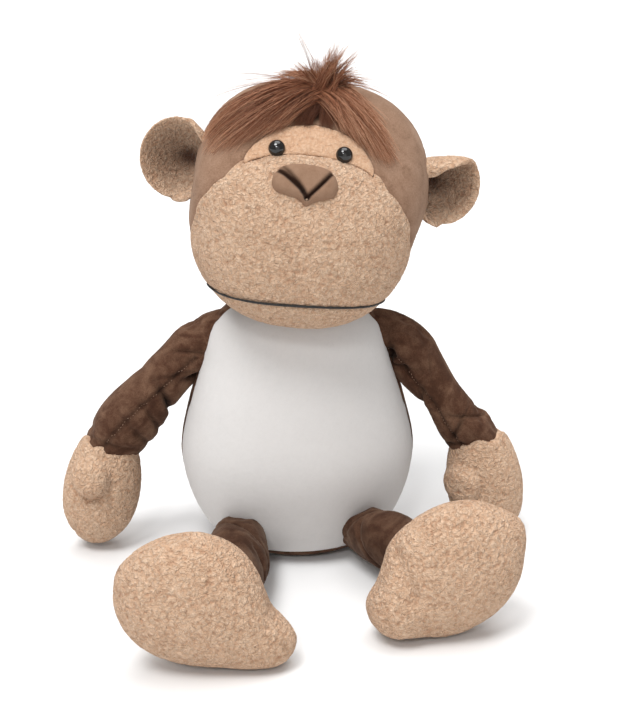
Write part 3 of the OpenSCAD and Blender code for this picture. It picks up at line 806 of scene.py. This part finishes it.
# ---- Eyes ----
# Black plastic domes on shanks, pushed through the brow and locked inside with washers. They are
# polished, and sit in small dimples of the pile.
eye_plastic, tree, shader = new_material("eye_plastic", Roughness=0.10, Specular_IOR_Level=0.6)
mix = nodes_of(tree, "ShaderNodeMix", data_type="RGBA")
mix.inputs["A"].default_value = (0.003, 0.003, 0.003, 1)
mix.inputs["B"].default_value = (0.012, 0.010, 0.009, 1)
plug(tree, grain(tree, 0.004, 3.0), mix.inputs["Factor"])
plug(tree, mix.outputs["Result"], shader.inputs["Base Color"])
scratches = nodes_of(tree, "ShaderNodeMapRange")
plug(tree, grain(tree, 0.001, 4.0, 1.0), scratches.inputs["Value"])
scratches.inputs["To Min"].default_value = 0.03
scratches.inputs["To Max"].default_value = 0.10
plug(tree, scratches.outputs[0], shader.inputs["Roughness"])

for side, word in ((1, "left"), (-1, "right")):
    seat_of_eye = on_head((side * 24.5, -64, 42))
    eye_place = (HEAD @ Matrix.Translation(seat_of_eye) @ Matrix.Rotation(math.radians(side * 14), 4, "Z")
                 @ Matrix.Rotation(math.radians(62), 4, "X"))
    profile = smooth_run([(6.0, -1.0), (6.25, 0.6), (6.1, 1.8), (5.2, 3.6), (3.6, 5.1), (1.8, 5.9), (0.3, 6.1)], 22)
    form = bag(np.array([oval((0, 0, h), X, Y, r, r, r, 40) for r, h in profile]))
    for face in form.faces:
        face.smooth = True
    work = bpy.data.objects.new("turning", bpy.data.meshes.new("turning"))
    form.to_mesh(work.data)
    form.free()
    work.data.materials.append(eye_plastic)
    scene.collection.objects.link(work)
    eye = plain_mesh(word + "_eye_dome", work, eye_place)
    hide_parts(word + "_eye")
    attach(eye, "head")


# ---- Hair ----
# Long auburn pile sewn in a patch over the crown. It stands up in wisps at the middle, and falls to
# both sides as a fringe that leaves the brow free.
hair_tree = bpy.data.node_groups.new("grow_hair", "GeometryNodeTree")
hair_socket = {}
for label, kind in (
    ("Locks", "Geometry"), ("Hairs per lock", "Int"), ("Root spread", "Float"), ("Tip spread", "Float"),
    ("Hair radius", "Float"), ("Darkest", "Float"), ("Lightest", "Float"), ("Finish", "Material"),
):
    socket = hair_tree.interface.new_socket(label, in_out="INPUT", socket_type="NodeSocket" + kind)
    hair_socket[label] = socket.identifier
hair_tree.interface.new_socket("Hair", in_out="OUTPUT", socket_type="NodeSocketGeometry")
given = nodes_of(hair_tree, "NodeGroupInput").outputs
result = nodes_of(hair_tree, "NodeGroupOutput").inputs
locks = nodes_of(hair_tree, "GeometryNodeMeshToCurve")
plug(hair_tree, given["Locks"], locks.inputs[0])
many = nodes_of(hair_tree, "GeometryNodeDuplicateElements", domain="SPLINE")
plug(hair_tree, locks.outputs[0], many.inputs["Geometry"])
plug(hair_tree, given["Hairs per lock"], many.inputs["Amount"])
noted = nodes_of(hair_tree, "GeometryNodeCaptureAttribute", domain="CURVE")
noted.capture_items.new("VECTOR", "Root")
noted.capture_items.new("VECTOR", "Tip")
noted.capture_items.new("FLOAT", "Tone")
plug(hair_tree, many.outputs["Geometry"], noted.inputs["Geometry"])
for number, label in enumerate(("Root", "Tip")):
    chance = nodes_of(hair_tree, "FunctionNodeRandomValue", data_type="FLOAT_VECTOR")
    plug(hair_tree, (-1.0, -1.0, -1.0), chance.inputs[0])
    plug(hair_tree, (1.0, 1.0, 1.0), chance.inputs[1])
    chance.inputs["Seed"].default_value = 11 + number
    plug(hair_tree, chance.outputs[0], noted.inputs[label])
chance = nodes_of(hair_tree, "FunctionNodeRandomValue", data_type="FLOAT")
chance.inputs["Seed"].default_value = 19
plug(hair_tree, given["Darkest"], chance.inputs[2])
plug(hair_tree, given["Lightest"], chance.inputs[3])
plug(hair_tree, chance.outputs[1], noted.inputs["Tone"])
share = nodes_of(hair_tree, "GeometryNodeSplineParameter").outputs["Factor"]
stay = math_node(hair_tree, "SUBTRACT", 1.0, share)
offsets = []
for label, amount, spread in (("Root", stay, "Root spread"), ("Tip", share, "Tip spread")):
    scaled = nodes_of(hair_tree, "ShaderNodeVectorMath", operation="SCALE")
    plug(hair_tree, noted.outputs[label], scaled.inputs[0])
    plug(hair_tree, math_node(hair_tree, "MULTIPLY", amount, given[spread]), scaled.inputs["Scale"])
    offsets.append(scaled.outputs[0])
both = nodes_of(hair_tree, "ShaderNodeVectorMath", operation="ADD")
plug(hair_tree, offsets[0], both.inputs[0])
plug(hair_tree, offsets[1], both.inputs[1])
spread_out = nodes_of(hair_tree, "GeometryNodeSetPosition")
plug(hair_tree, noted.outputs["Geometry"], spread_out.inputs["Geometry"])
plug(hair_tree, both.outputs[0], spread_out.inputs["Offset"])
tone = nodes_of(hair_tree, "GeometryNodeStoreNamedAttribute", data_type="FLOAT", domain="POINT")
tone.inputs["Name"].default_value = "tone"
plug(hair_tree, spread_out.outputs[0], tone.inputs["Geometry"])
plug(hair_tree, noted.outputs["Tone"], tone.inputs["Value"])
length = nodes_of(hair_tree, "GeometryNodeStoreNamedAttribute", data_type="FLOAT", domain="POINT")
length.inputs["Name"].default_value = "share"
plug(hair_tree, tone.outputs[0], length.inputs["Geometry"])
plug(hair_tree, share, length.inputs["Value"])
profile = nodes_of(hair_tree, "GeometryNodeCurvePrimitiveCircle", mode="RADIUS")
profile.inputs["Resolution"].default_value = 3
profile.inputs["Radius"].default_value = 1.0
taper = math_node(hair_tree, "MULTIPLY", math_node(
    hair_tree, "POWER", math_node(hair_tree, "SUBTRACT", 1.03, share), 0.6), given["Hair radius"])
strand = nodes_of(hair_tree, "GeometryNodeCurveToMesh")
if "Scale" in strand.inputs:
    plug(hair_tree, taper, strand.inputs["Scale"])
    plug(hair_tree, length.outputs[0], strand.inputs["Curve"])
else:
    thin = nodes_of(hair_tree, "GeometryNodeSetCurveRadius")
    plug(hair_tree, length.outputs[0], thin.inputs["Curve"])
    plug(hair_tree, taper, thin.inputs["Radius"])
    plug(hair_tree, thin.outputs[0], strand.inputs["Curve"])
plug(hair_tree, profile.outputs[0], strand.inputs["Profile Curve"])
real = nodes_of(hair_tree, "GeometryNodeRealizeInstances")
finish = nodes_of(hair_tree, "GeometryNodeSetMaterial")
plug(hair_tree, strand.outputs[0], real.inputs[0])
plug(hair_tree, real.outputs[0], finish.inputs["Geometry"])
plug(hair_tree, given["Finish"], finish.inputs["Material"])
plug(hair_tree, finish.outputs[0], result[0])

auburn, tree, shader = new_material("auburn_hair", Roughness=0.55, Specular_IOR_Level=0.22)
tone = nodes_of(tree, "ShaderNodeAttribute", attribute_name="tone").outputs["Fac"]
share = nodes_of(tree, "ShaderNodeAttribute", attribute_name="share").outputs["Fac"]
level = math_node(tree, "MULTIPLY_ADD", share, math_node(tree, "MULTIPLY_ADD", tone, 0.45, 0.1),
                  math_node(tree, "MULTIPLY", tone, 0.5))
ramp = nodes_of(tree, "ShaderNodeValToRGB")
ramp.color_ramp.elements[0].color = (0.045, 0.014, 0.007, 1)
ramp.color_ramp.elements[1].color = (0.72, 0.42, 0.26, 1)
middle = ramp.color_ramp.elements.new(0.45)
middle.color = (0.33, 0.125, 0.062, 1)
plug(tree, level, ramp.inputs["Fac"])
plug(tree, ramp.outputs["Color"], shader.inputs["Base Color"])

comb = np.random.default_rng(7)
lock_points, lock_edges = [], []


def lock(start, end, hover, rise=0.0, lie=True, steps=11):
    """One lock of hair between two points. It lies on the head, hover above it, or arches freely."""
    base = len(lock_points)
    start, end = Vector(start), Vector(end)
    for k in range(steps):
        share = k / (steps - 1)
        spot = start.lerp(end, share)
        surface, normal, _, _ = head_skin.find_nearest(spot)
        if lie:
            spot = surface + normal * (1 + hover * math.sin(math.pi * share**0.75) + rise * share**2)
        else:
            spot = spot + Vector((0, 0, hover * math.sin(math.pi * share)))
        lock_points.append(tuple(spot))
    lock_edges.extend((base + k, base + k + 1) for k in range(steps - 1))


def near(points, share, loose):
    """A place along a run of points, with some chance in it."""
    at = share * (len(points) - 1)
    k = min(int(at), len(points) - 2)
    spot = np.array(points[k]) + (at - k) * (np.array(points[k + 1]) - np.array(points[k]))
    return spot + comb.normal(0, loose, 3)


# the two wings of the fringe: the ends of their locks, from the outer ones to the ones by the parting
right_wing = [(-80, -26, 44), (-77, -38, 36), (-66, -54, 31), (-50, -56, 40), (-36, -53, 48), (-24, -51, 54)]
left_wing = [(44, -30, 74), (53, -42, 62), (60, -53, 48), (60, -59, 36), (50, -58, 42), (36, -55, 50), (20, -50, 57)]
for wing, count in ((right_wing, 64), (left_wing, 78)):
    for share in (np.arange(count) + 0.5) / count:
        lock((comb.uniform(-3, 13), -30 + 22 * (1 - share) + comb.uniform(-6, 4), 84),
             near(wing, share, 2.5), comb.uniform(2, 6), comb.uniform(0, 3))
for k in range(20):  # the short hair behind
    lock((comb.uniform(-6, 16), comb.uniform(-16, -2), 84),
         (5 + comb.uniform(-42, 42), comb.uniform(8, 26), 80), 3.0, comb.uniform(2, 6))
for k in range(64):  # the tuft that stands up and out
    angle = math.pi * (0.5 + 0.5 * comb.uniform(-1, 1) * abs(comb.uniform(-1, 1)) ** 0.3)
    reach = comb.uniform(12, 30) * (1.2 if 0.28 < angle / math.pi < 0.5 else 0.85)
    deep = comb.uniform(-12, 12)
    lock((5 + comb.uniform(-9, 9), -20 + comb.uniform(-9, 9), 82),
         (5 + 1.25 * reach * math.cos(angle), -20 + deep, 84 + 0.9 * reach * math.sin(angle)),
         comb.uniform(-1, 3), lie=False)


def grown_hair(name, count, root_spread, tip_spread, radius, tones):
    """The locks laid out so far, grown into hair of some tones from 0, dark, to 1, light."""
    work = bpy.data.objects.new("locks", bpy.data.meshes.new("locks"))
    work.data.from_pydata(lock_points, lock_edges, [])
    lock_points.clear()
    lock_edges.clear()
    scene.collection.objects.link(work)
    grown = work.modifiers.new("hair", "NODES")
    grown.node_group = hair_tree
    for label, value in (
        ("Hairs per lock", count), ("Root spread", root_spread), ("Tip spread", tip_spread),
        ("Hair radius", radius), ("Darkest", tones[0]), ("Lightest", tones[1]), ("Finish", auburn),
    ):
        grown[hair_socket[label]] = value
    piece = plain_mesh(name, work, HEAD)
    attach(piece, "head")
    return piece


hair = grown_hair("hair", 16, 2.4, 3.0, 0.19, (0.0, 1.0))
for end, hover in (  # single long wisps
    ((-66, -20, 86), 3), ((-58, -20, 83), 4), ((-88, -26, 62), 8), ((-80, -30, 56), 7), ((-72, -24, 72), 6),
    ((55, -12, 84), 4), ((60, -12, 79), 5), ((48, -8, 92), 3), ((52, -16, 88), 4), ((-17, -22, 122), 0),
    ((-20, -22, 126), 0), ((16, -22, 124), 0), ((24, -22, 121), 2), ((34, -20, 118), 3), ((12, -20, 121), 0),
    ((14, -22, 116), 0), ((38, -18, 98), 2), ((-30, -18, 92), 3), ((9, -20, 116), 0), ((20, -24, 118), 1),
):
    lock((5 + comb.uniform(-4, 4), -20, 84), end, hover, lie=False)
wisps = grown_hair("hair_wisps", 6, 1.5, 1.6, 0.16, (0.2, 0.9))
for k in range(34):  # the short hair under the parting, in the darkest tones only: painted shade in the V between the wings
    lock((5 + comb.uniform(-6, 6), comb.uniform(-36, -28), 78),
         (comb.uniform(-24, 24), -48.5, 57 + comb.uniform(-3, 3)), 2.2, 0.5)
parting = grown_hair("hair_parting", 18, 2.2, 2.6, 0.19, (0.0, 0.12))
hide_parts("hair_tuft")


# ---- Ears ----
# Each ear is a cup of tan terry: a front lining and a back, sewn together round the rim and gathered
# where they are set into the side of the head.
def ear_cup(depth, wall, upper, lower, face):
    """The rings of a cup from its middle to its rim, and the painted shade of each point, deepest in the hollow of
    the bowl and in the slot at its base.
    Its upper and lower edges curl forward: each is given as its flat half at the head, at the tip, and the place of
    the tip.
    face is -1 for its front, 1 for its back and 0 for the middle of its wall; only the front and the wall take
    painted shade."""
    rings, dark = [], []
    for share in np.r_[np.linspace(0.05, 0.9, 24), 0.95, 0.98, 1.0]:
        turn = np.arange(88) * 2 * np.pi / 88
        x = np.where(np.cos(turn) > 0, np.cos(turn), -np.abs(np.cos(turn)) ** 0.45) * 28 * share
        z = np.sin(turn) * (31 + 4 * (x < 0)) * share
        flat = np.where(z > 0, *(np.interp(x, (-26, tip), (root, end)) for root, end, tip in (upper, lower)))
        turned = np.clip((np.abs(z) - flat) / 6.2, 0, 4.0)
        thick = face * wall * max(0.12, 1 - share**5) ** 0.5
        up = np.minimum(np.abs(z), flat) + (6.2 + thick) * np.sin(turned)
        bowl = depth * (1 - (x / 28) ** 2 - (np.minimum(np.abs(z), 30) / 31) ** 2)
        ahead = np.maximum(bowl, 0) - 6.2 * (1 - np.cos(turned)) + thick * np.cos(turned)
        rings.append(np.stack([x, ahead, np.sign(z) * up], axis=1))
        # painted shade on the front cloth, deepest in the hollow of the bowl and in the slot at its base
        inside = np.clip(bowl / depth, 0, 1) ** 0.7 * 0.6 + 0.5 * np.exp(-((x + 12) / 14) ** 2 - (z / 9) ** 2)
        dark.append(inside * (turned < 0.6) * (face < 1))
    return np.array(rings) + np.array((103.5, -6, 17)), np.array(dark)


ears = {"left": ((9, 17, 26), (8, 40, 12)), "right": ((8, 40, 8), (8, 40, 6))}
for side, word in ((1, "left"), (-1, "right")):
    flip = Matrix.Scale(side, 4, X)
    (front, wall, rear), (front_painted_shade, wall_painted_shade, _) = zip(
        *(ear_cup(15, 2.9, *ears[word], face) for face in (-1, 0, 1)))
    for part, grid in (("front", (front, wall)), ("back", (wall + (0, 0.3, 0), rear))):
        rings = np.concatenate([grid[0][:, ::-1], grid[1][::-1, ::-1]])
        form = bag(rings)
        if part == "front":
            mark_painted_shade(form, np.concatenate([front_painted_shade[:, ::-1], wall_painted_shade[::-1, ::-1]]))
        for vert in form.verts:
            vert.co = flip @ vert.co + Vector((3.5, 0, 0))
        bmesh.ops.recalc_face_normals(form, faces=form.faces)
        form.normal_update()
        ear = sewn(word + "_ear_" + part + "_cloth", form, tan_terry, level=1, pile=(1.0, 3.4, 2.0),
                   place=HEAD)
        form.free()
        stuffed_piece(ear, word + "_ear", [word + "_ear_" + part])


# ---- Arms ----
# Tubes of brown pile with one seam along them, stuffed loosely, so that they crease at the shoulder and
# above the hand. The upper end is sewn into the side of the body.
def tube(path, sizes, flat, count, sides):
    """Rings along a path. sizes are its radii, and flat how thick it is against its width."""
    path = smooth_run(path, count)
    size = smooth_run([(k, r) for k, r in enumerate(sizes)], count)[:, 1]
    along = np.gradient(path, axis=0)
    along /= np.linalg.norm(along, axis=1, keepdims=True)
    rings = []
    for k in range(count):
        u = np.cross(along[k], (0, 1.0, 0)) if abs(along[k][1]) < 0.8 else np.array((1.0, 0, 0))
        u -= along[k] * u.dot(along[k])
        u /= np.linalg.norm(u)
        v = np.cross(along[k], u)
        rings.append(oval(path[k], u, v, size[k], size[k] * flat, size[k] * flat, sides))
    return np.array(rings)


def creased(grid, creases):
    """The grid with soft creases: (place along 0..1, place round 0..1, length, width, slope, depth)."""
    rings, sides, _ = grid.shape
    normal = outward(grid)
    i = np.linspace(0, 1, rings)[:, None]
    j = np.arange(sides)[None, :] / sides
    depth = np.zeros((rings, sides))
    for at, turn, length, width, slope, deep in creases:
        around = (j - turn + 0.5) % 1 - 0.5
        across = (i - at) - slope * around
        depth += deep * np.exp(-((across / width) ** 2) - (around / length) ** 2)
    return grid - normal * depth[:, :, None], depth


# creases of each sleeve: (along, round, length, width, slope, depth). Round is 0.25 at its front.
arms = {
    "left": (
        [(52, 4, 186), (70, 2, 180), (84, 0, 171), (98, -4, 152), (118, -8, 127), (137, -11, 101),
         (150, -12, 84), (154, -12, 74)],
        [13, 20, 19, 16.5, 15.5, 15.5, 17.5, 19.5, 15],
        [(0.24, 0.38, 0.11, 0.032, 0.5, 8.0), (0.31, 0.40, 0.10, 0.018, -0.6, 4.0),
         (0.42, 0.20, 0.08, 0.012, 1.2, 1.6), (0.52, 0.42, 0.10, 0.02, 0.5, 2.6),
         (0.70, 0.22, 0.09, 0.014, -0.5, 2.6), (0.76, 0.30, 0.12, 0.016, 0.35, 3.2),
         (0.82, 0.38, 0.10, 0.014, -0.3, 2.6), (0.60, 0.75, 0.16, 0.03, 0.5, 2.5)],
        [(0.14, 0.33), (0.3, 0.33), (0.5, 0.35), (0.7, 0.34), (0.9, 0.33)],
    ),
    "right": (
        [(-50, 4, 188), (-64, 2, 182), (-79, 0, 170), (-97, -4, 151), (-120, -8, 126), (-142, -11, 102),
         (-157, -12, 84), (-163, -12, 74)],
        [13, 18, 18, 18.5, 19, 19.5, 21.5, 23.5, 17],
        [(0.33, 0.07, 0.08, 0.030, 0.5, 7.0), (0.52, 0.10, 0.15, 0.022, -0.25, 6.5),
         (0.64, 0.10, 0.14, 0.014, -0.3, 3.6), (0.74, 0.12, 0.14, 0.014, -0.2, 3.0),
         (0.40, 0.24, 0.09, 0.016, 0.9, 2.0), (0.84, 0.24, 0.12, 0.014, 0.3, 2.2),
         (0.26, 0.28, 0.10, 0.016, 0.6, 2.4), (0.60, 0.75, 0.16, 0.03, 0.5, 2.5)],
        [(0.24, 0.20), (0.4, 0.22), (0.6, 0.26), (0.75, 0.28), (0.92, 0.30)],
    ),
}
brown_thread = thread_look("brown_thread", (0.21, 0.125, 0.08), 0.2)
for side, word in ((1, "left"), (-1, "right")):
    path, sizes, creases, seam = arms[word]
    grid, depth = creased(tube(path, sizes, 0.95, 72, 72), creases)
    pins = np.zeros(grid.shape[:2])
    pins[:4] = pins[-3:] = 1
    grid = plump(grid, 3.0, pins, pressure=1.5, grow=0.04)
    along = np.linspace(0, 1, len(grid))
    turn = np.interp(along, *zip(*seam))
    normal = outward(grid)
    aside = (np.arange(72)[None, :] / 72 - turn[:, None] + 0.5) % 1 - 0.5
    inside = ((along > seam[0][0]) & (along < 0.95))[:, None]
    grid = grid - normal * (inside * 2.0 * np.exp(-((aside / 0.016) ** 2)))[:, :, None]
    form = bag(grid)
    # painted shade in the creases; the line of the seam is darkened too
    mark_painted_shade(form, depth / 5.5 + inside * 0.5 * np.exp(-((aside / 0.02) ** 2)))
    bmesh.ops.recalc_face_normals(form, faces=form.faces)
    form.normal_update()
    sleeve = sewn(word + "_arm_sleeve", form, brown_pile, level=1, pile=(0.7, 4.5, 1.3))
    start, end = (tuple(v * MM for v in path[k]) for k in (1, 3))
    stuffed_piece(sleeve, None, [word + "_sleeve", word + "_arm_filling"])
    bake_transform(sleeve)
    form.free()
    runs = [k for k in range(len(grid)) if seam[0][0] < along[k] < 0.87]
    line = [grid[k][round(turn[k] * 72) % 72] + normal[k][round(turn[k] * 72) % 72] * 0.5 for k in runs]
    stitches = stitched(word + "_sleeve_seam", line, brown_thread, 2.6, (0.35, 0.85, 0.35), slant=0.25)
    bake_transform(stitches)


# ---- Hands ----
# Mittens of tan terry sewn round the end of the sleeve, with a stuffed thumb on the front that folds
# over the palm.
hand_stations = [
    (-9, 20, 16), (-6, 22.5, 19), (0, 25, 21), (10, 28, 23), (25, 30.5, 24.5), (42, 30.5, 24),
    (58, 27, 21.5), (70, 20, 16), (78, 11, 9), (81, 3, 3),
]
# (across, below the wrist, how wide, how high, how far it stands out) of each thumb
thumbs = {"left": (-19, 25, 12, 15, 8), "right": (-9, 18, 15, 15, 8)}
for side, word, turn in ((1, "left", (-5, -8)), (-1, "right", (-3, 12))):
    wrist = (150, -12, 84) if side == 1 else (-155, -12, 84)
    grid = np.array([
        oval((0, 0, -h), X, Y, w, d, d, 88) for h, w, d in smooth_run(hand_stations, 60)
    ])[:, ::-1]
    normal = outward(grid)
    across, low, wide, high, stand = thumbs[word]
    aside, below = grid[:, :, 0] - across, -grid[:, :, 2] - low
    far = np.sqrt((aside / wide) ** 2 + (below / high) ** 2)
    ahead = np.clip(-1.6 * normal[:, :, 1] + 0.3, 0, 1)
    thumb = stand * np.clip(1.15 - far**3, 0, 1) ** 0.7
    under = 2.6 * np.exp(-(((far - 1.22) / 0.13) ** 2)) * np.clip(below / 6, 0, 1)
    seam = 1.3 * np.exp(-(((grid[:, :, 0] - across + 0.12 * below) / 1.2) ** 2)) * (below > high)
    wavy = grid[:3, :, 2].copy()
    grid = grid + normal * (ahead * (thumb - under - seam))[:, :, None]
    grid[:3, :, 2] = wavy + 1.6 * np.sin(np.arange(88) * 2 * np.pi * 5 / 88)[None, :]
    pins = np.zeros(grid.shape[:2])
    pins[:4] = 1
    grid = plump(grid, 1.5, pins, pressure=2.0)
    form = bag(grid)
    place = (Matrix.Translation([v * MM for v in wrist]) @ Matrix.Rotation(math.radians(turn[1]), 4, "Y")
             @ Matrix.Rotation(math.radians(turn[0]), 4, "X") @ ALL_MM)
    hand = sewn(word + "_mitten", form, tan_terry, level=1, pile=(1.0, 3.6, 2.2), place=place)
    stuffed_piece(hand, word + "_hand", [word + "_hand", word + "_hand_filling"])
    form.free()


# ---- Legs ----
# Short tubes of the same brown pile, sewn to the front of the body low down, and loosely stuffed.
leg_creases = [
    (0.30, 0.75, 0.14, 0.04, 0.4, 3.5), (0.42, 0.20, 0.16, 0.035, -0.5, 3.0),
    (0.55, 0.65, 0.12, 0.03, 0.6, 2.5), (0.68, 0.90, 0.14, 0.03, -0.4, 2.2),
]
legs = {
    "left": [(38, -22, 27), (50, -47, 28), (68, -78, 31), (90, -110, 35), (106, -134, 37), (111, -142, 38)],
    "right": [(-41, -24, 27), (-45, -52, 28), (-47, -90, 29), (-49, -130, 29), (-50, -168, 30), (-50, -178, 30)],
}
for side, word in ((1, "left"), (-1, "right")):
    grid = tube(legs[word], [14, 22, 24, 23, 22, 21.5, 16], 0.98, 60, 60)
    grid, depth = creased(grid, leg_creases)
    pins = np.zeros(grid.shape[:2])
    pins[:4] = pins[-3:] = 1
    grid = plump(grid, 3.0, pins, pressure=1.5, grow=0.04)
    grid[:, :, 2] = np.maximum(grid[:, :, 2], 3)
    form = bag(grid)
    # painted shade: the legs are darkened all over, where they sit under the belly, and more in their creases
    mark_painted_shade(form, depth / 6 + 0.3)
    bmesh.ops.recalc_face_normals(form, faces=form.faces)
    form.normal_update()
    leg = sewn(word + "_leg_tube", form, brown_pile, level=1, pile=(0.8, 4.5, 1.3))
    stuffed_piece(leg, None, [word + "_leg", word + "_leg_filling"])
    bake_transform(leg)
    form.free()


# ---- Feet ----
# Big padded feet of tan terry, of a sole and a top sewn together round the edge. Each one narrows to
# a small heel.
# (distance from the heel, half width, half thickness, shift down across the foot)
foot_stations = {
    "left": [
        (0, 4, 4, -1), (3, 12, 11, -1), (9, 17, 16, -1), (17, 21, 20, -1), (26, 29, 23, -1),
        (41, 42, 25.5, -2), (55, 46.5, 27, -2.5), (69, 47.5, 27.5, -3), (88, 45, 26, -4), (104, 37, 23, -5),
        (118, 22, 15, -6), (126, 10, 8, -6), (129, 3, 3, -6),
    ],
    "right": [
        (-3, 4, 4, 1), (0, 11, 9, 1.5), (6, 16, 14, 2), (14, 20, 18, 2), (24, 24.5, 21, 2.5),
        (34, 31, 23, 0), (46, 39, 25, -3), (60, 45.5, 27, -4.5), (76, 48.5, 27.5, -4.5), (94, 46.5, 26.5, -3.5),
        (110, 38, 23, -2), (122, 26, 16, -1), (129, 12, 9, -1), (132, 3, 3, -1),
    ],
}
heels = {"left": ((53, -176, 13), 30, 6), "right": ((-7, -211, 12), 27, 0)}
for side, word in ((1, "left"), (-1, "right")):
    (heel, rise, yaw) = heels[word]
    grid = np.array([
        oval((side * shift, 0, h), X, Y, w, d, d, 96)
        for h, w, d, shift in smooth_run(foot_stations[word], 50)
    ])
    # the toy's left heel is a round nub, set off from the sole by a crease on its upper side
    if word == "left":
        normal = outward(grid)
        high = -side * grid[:, :, 0]
        crease = 4.5 * np.exp(-(((grid[:, :, 2] - 36 - 0.10 * high) / 5) ** 2))
        crease *= np.clip((high + 4) / 12, 0, 1) * np.clip(-2 * normal[:, :, 1], 0, 1)
        nub = 5 * np.exp(-(((grid[:, :, 2] - 15) / 13) ** 2)) * np.clip(-1.5 * normal[:, :, 1], 0, 1)
        grid = grid + normal * (nub - crease)[:, :, None]
    pins = np.zeros(grid.shape[:2])
    grid = plump(grid, 1.5, pins, pressure=3.0)
    form = bag(grid)
    cut(form, (0, 0, 0), (0, 1, 0))
    place = (Matrix.Translation([v * MM for v in heel]) @ Matrix.Rotation(math.radians(side * yaw), 4, "Z")
             @ Matrix.Rotation(math.radians(side * (90 - rise)), 4, "Y") @ ALL_MM)
    lowest = min((place @ vert.co).z for vert in form.verts)
    place = Matrix.Translation((0, 0, max(0, 1.6 * MM - lowest))) @ place
    for part, sole in (("sole", True), ("foot_top", False)):
        panel = sewn(word + "_" + part + "_cloth", form, tan_terry,
                     (lambda f: centre(f).y < 0) if sole else (lambda f: centre(f).y > 0),
                     level=2, pile=(1.2, 4.0, 2.2), tuck=1.0, place=place)
        stuffed_piece(panel, word + "_foot", [word + "_" + part, word + "_foot_filling"])
    form.free()


# ---- Tail ----
# A thin tube of the brown pile that leaves the seat behind and lies curled on the table.
tail_grid = tube([(0, 60, 15), (0, 68, 14), (0, 78, 12.5), (-3, 92, 11.5), (-12, 108, 11), (-28, 121, 10.5),
                  (-48, 127, 10.2), (-68, 122, 10), (-80, 110, 10), (-86, 103, 10)],
                 [9, 11, 10.8, 10.4, 10, 9.8, 9.4, 9, 8, 2.5], 1.0, 70, 28)
tail_form = bag(tail_grid)
bmesh.ops.recalc_face_normals(tail_form, faces=tail_form.faces)
tail_form.normal_update()
tail = sewn("tail_tube", tail_form, brown_pile, level=1, pile=(0.7, 4.5, 1.3))
stuffed_piece(tail, None, ["tail_cover", "tail_filling"])
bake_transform(tail)


# ---- Inside ----
# What no one sees: loose white fibre in every part, the pellets in their bag, and the washers behind
# the eyes.
def inner_look(name, low, high, size, bump, roughness):
    """A material for a part inside the covers."""
    material, tree, shader = new_material(name, Roughness=roughness)
    lumps = grain(tree, size, 4.0, 0.8)
    mix = nodes_of(tree, "ShaderNodeMix", data_type="RGBA")
    mix.inputs["A"].default_value = (*low, 1)
    mix.inputs["B"].default_value = (*high, 1)
    plug(tree, lumps, mix.inputs["Factor"])
    plug(tree, mix.outputs["Result"], shader.inputs["Base Color"])
    relief = nodes_of(tree, "ShaderNodeBump")
    relief.inputs["Strength"].default_value = bump
    relief.inputs["Distance"].default_value = 0.001
    plug(tree, lumps, relief.inputs["Height"])
    plug(tree, relief.outputs[0], shader.inputs["Normal"])
    return material


inner_looks = {
    "stuffing": inner_look("stuffing_fibre", (0.70, 0.69, 0.65), (0.88, 0.87, 0.84), 0.004, 1.0, 0.95),
    "pellets": inner_look("pellet_beads", (0.55, 0.55, 0.53), (0.80, 0.80, 0.78), 0.003, 0.8, 0.4),
    "washer_plastic": inner_look("washer_plastic", (0.72, 0.72, 0.70), (0.80, 0.80, 0.79), 0.002, 0.1, 0.35),
}
for part in frame["record"]["subparts"]:
    if part["material_slot"] in inner_looks and part["node"] in frame["nodes"]:
        kept_node = frame["nodes"][part["node"]]
        kept_node.data.materials.clear()
        kept_node.data.materials.append(inner_looks[part["material_slot"]])
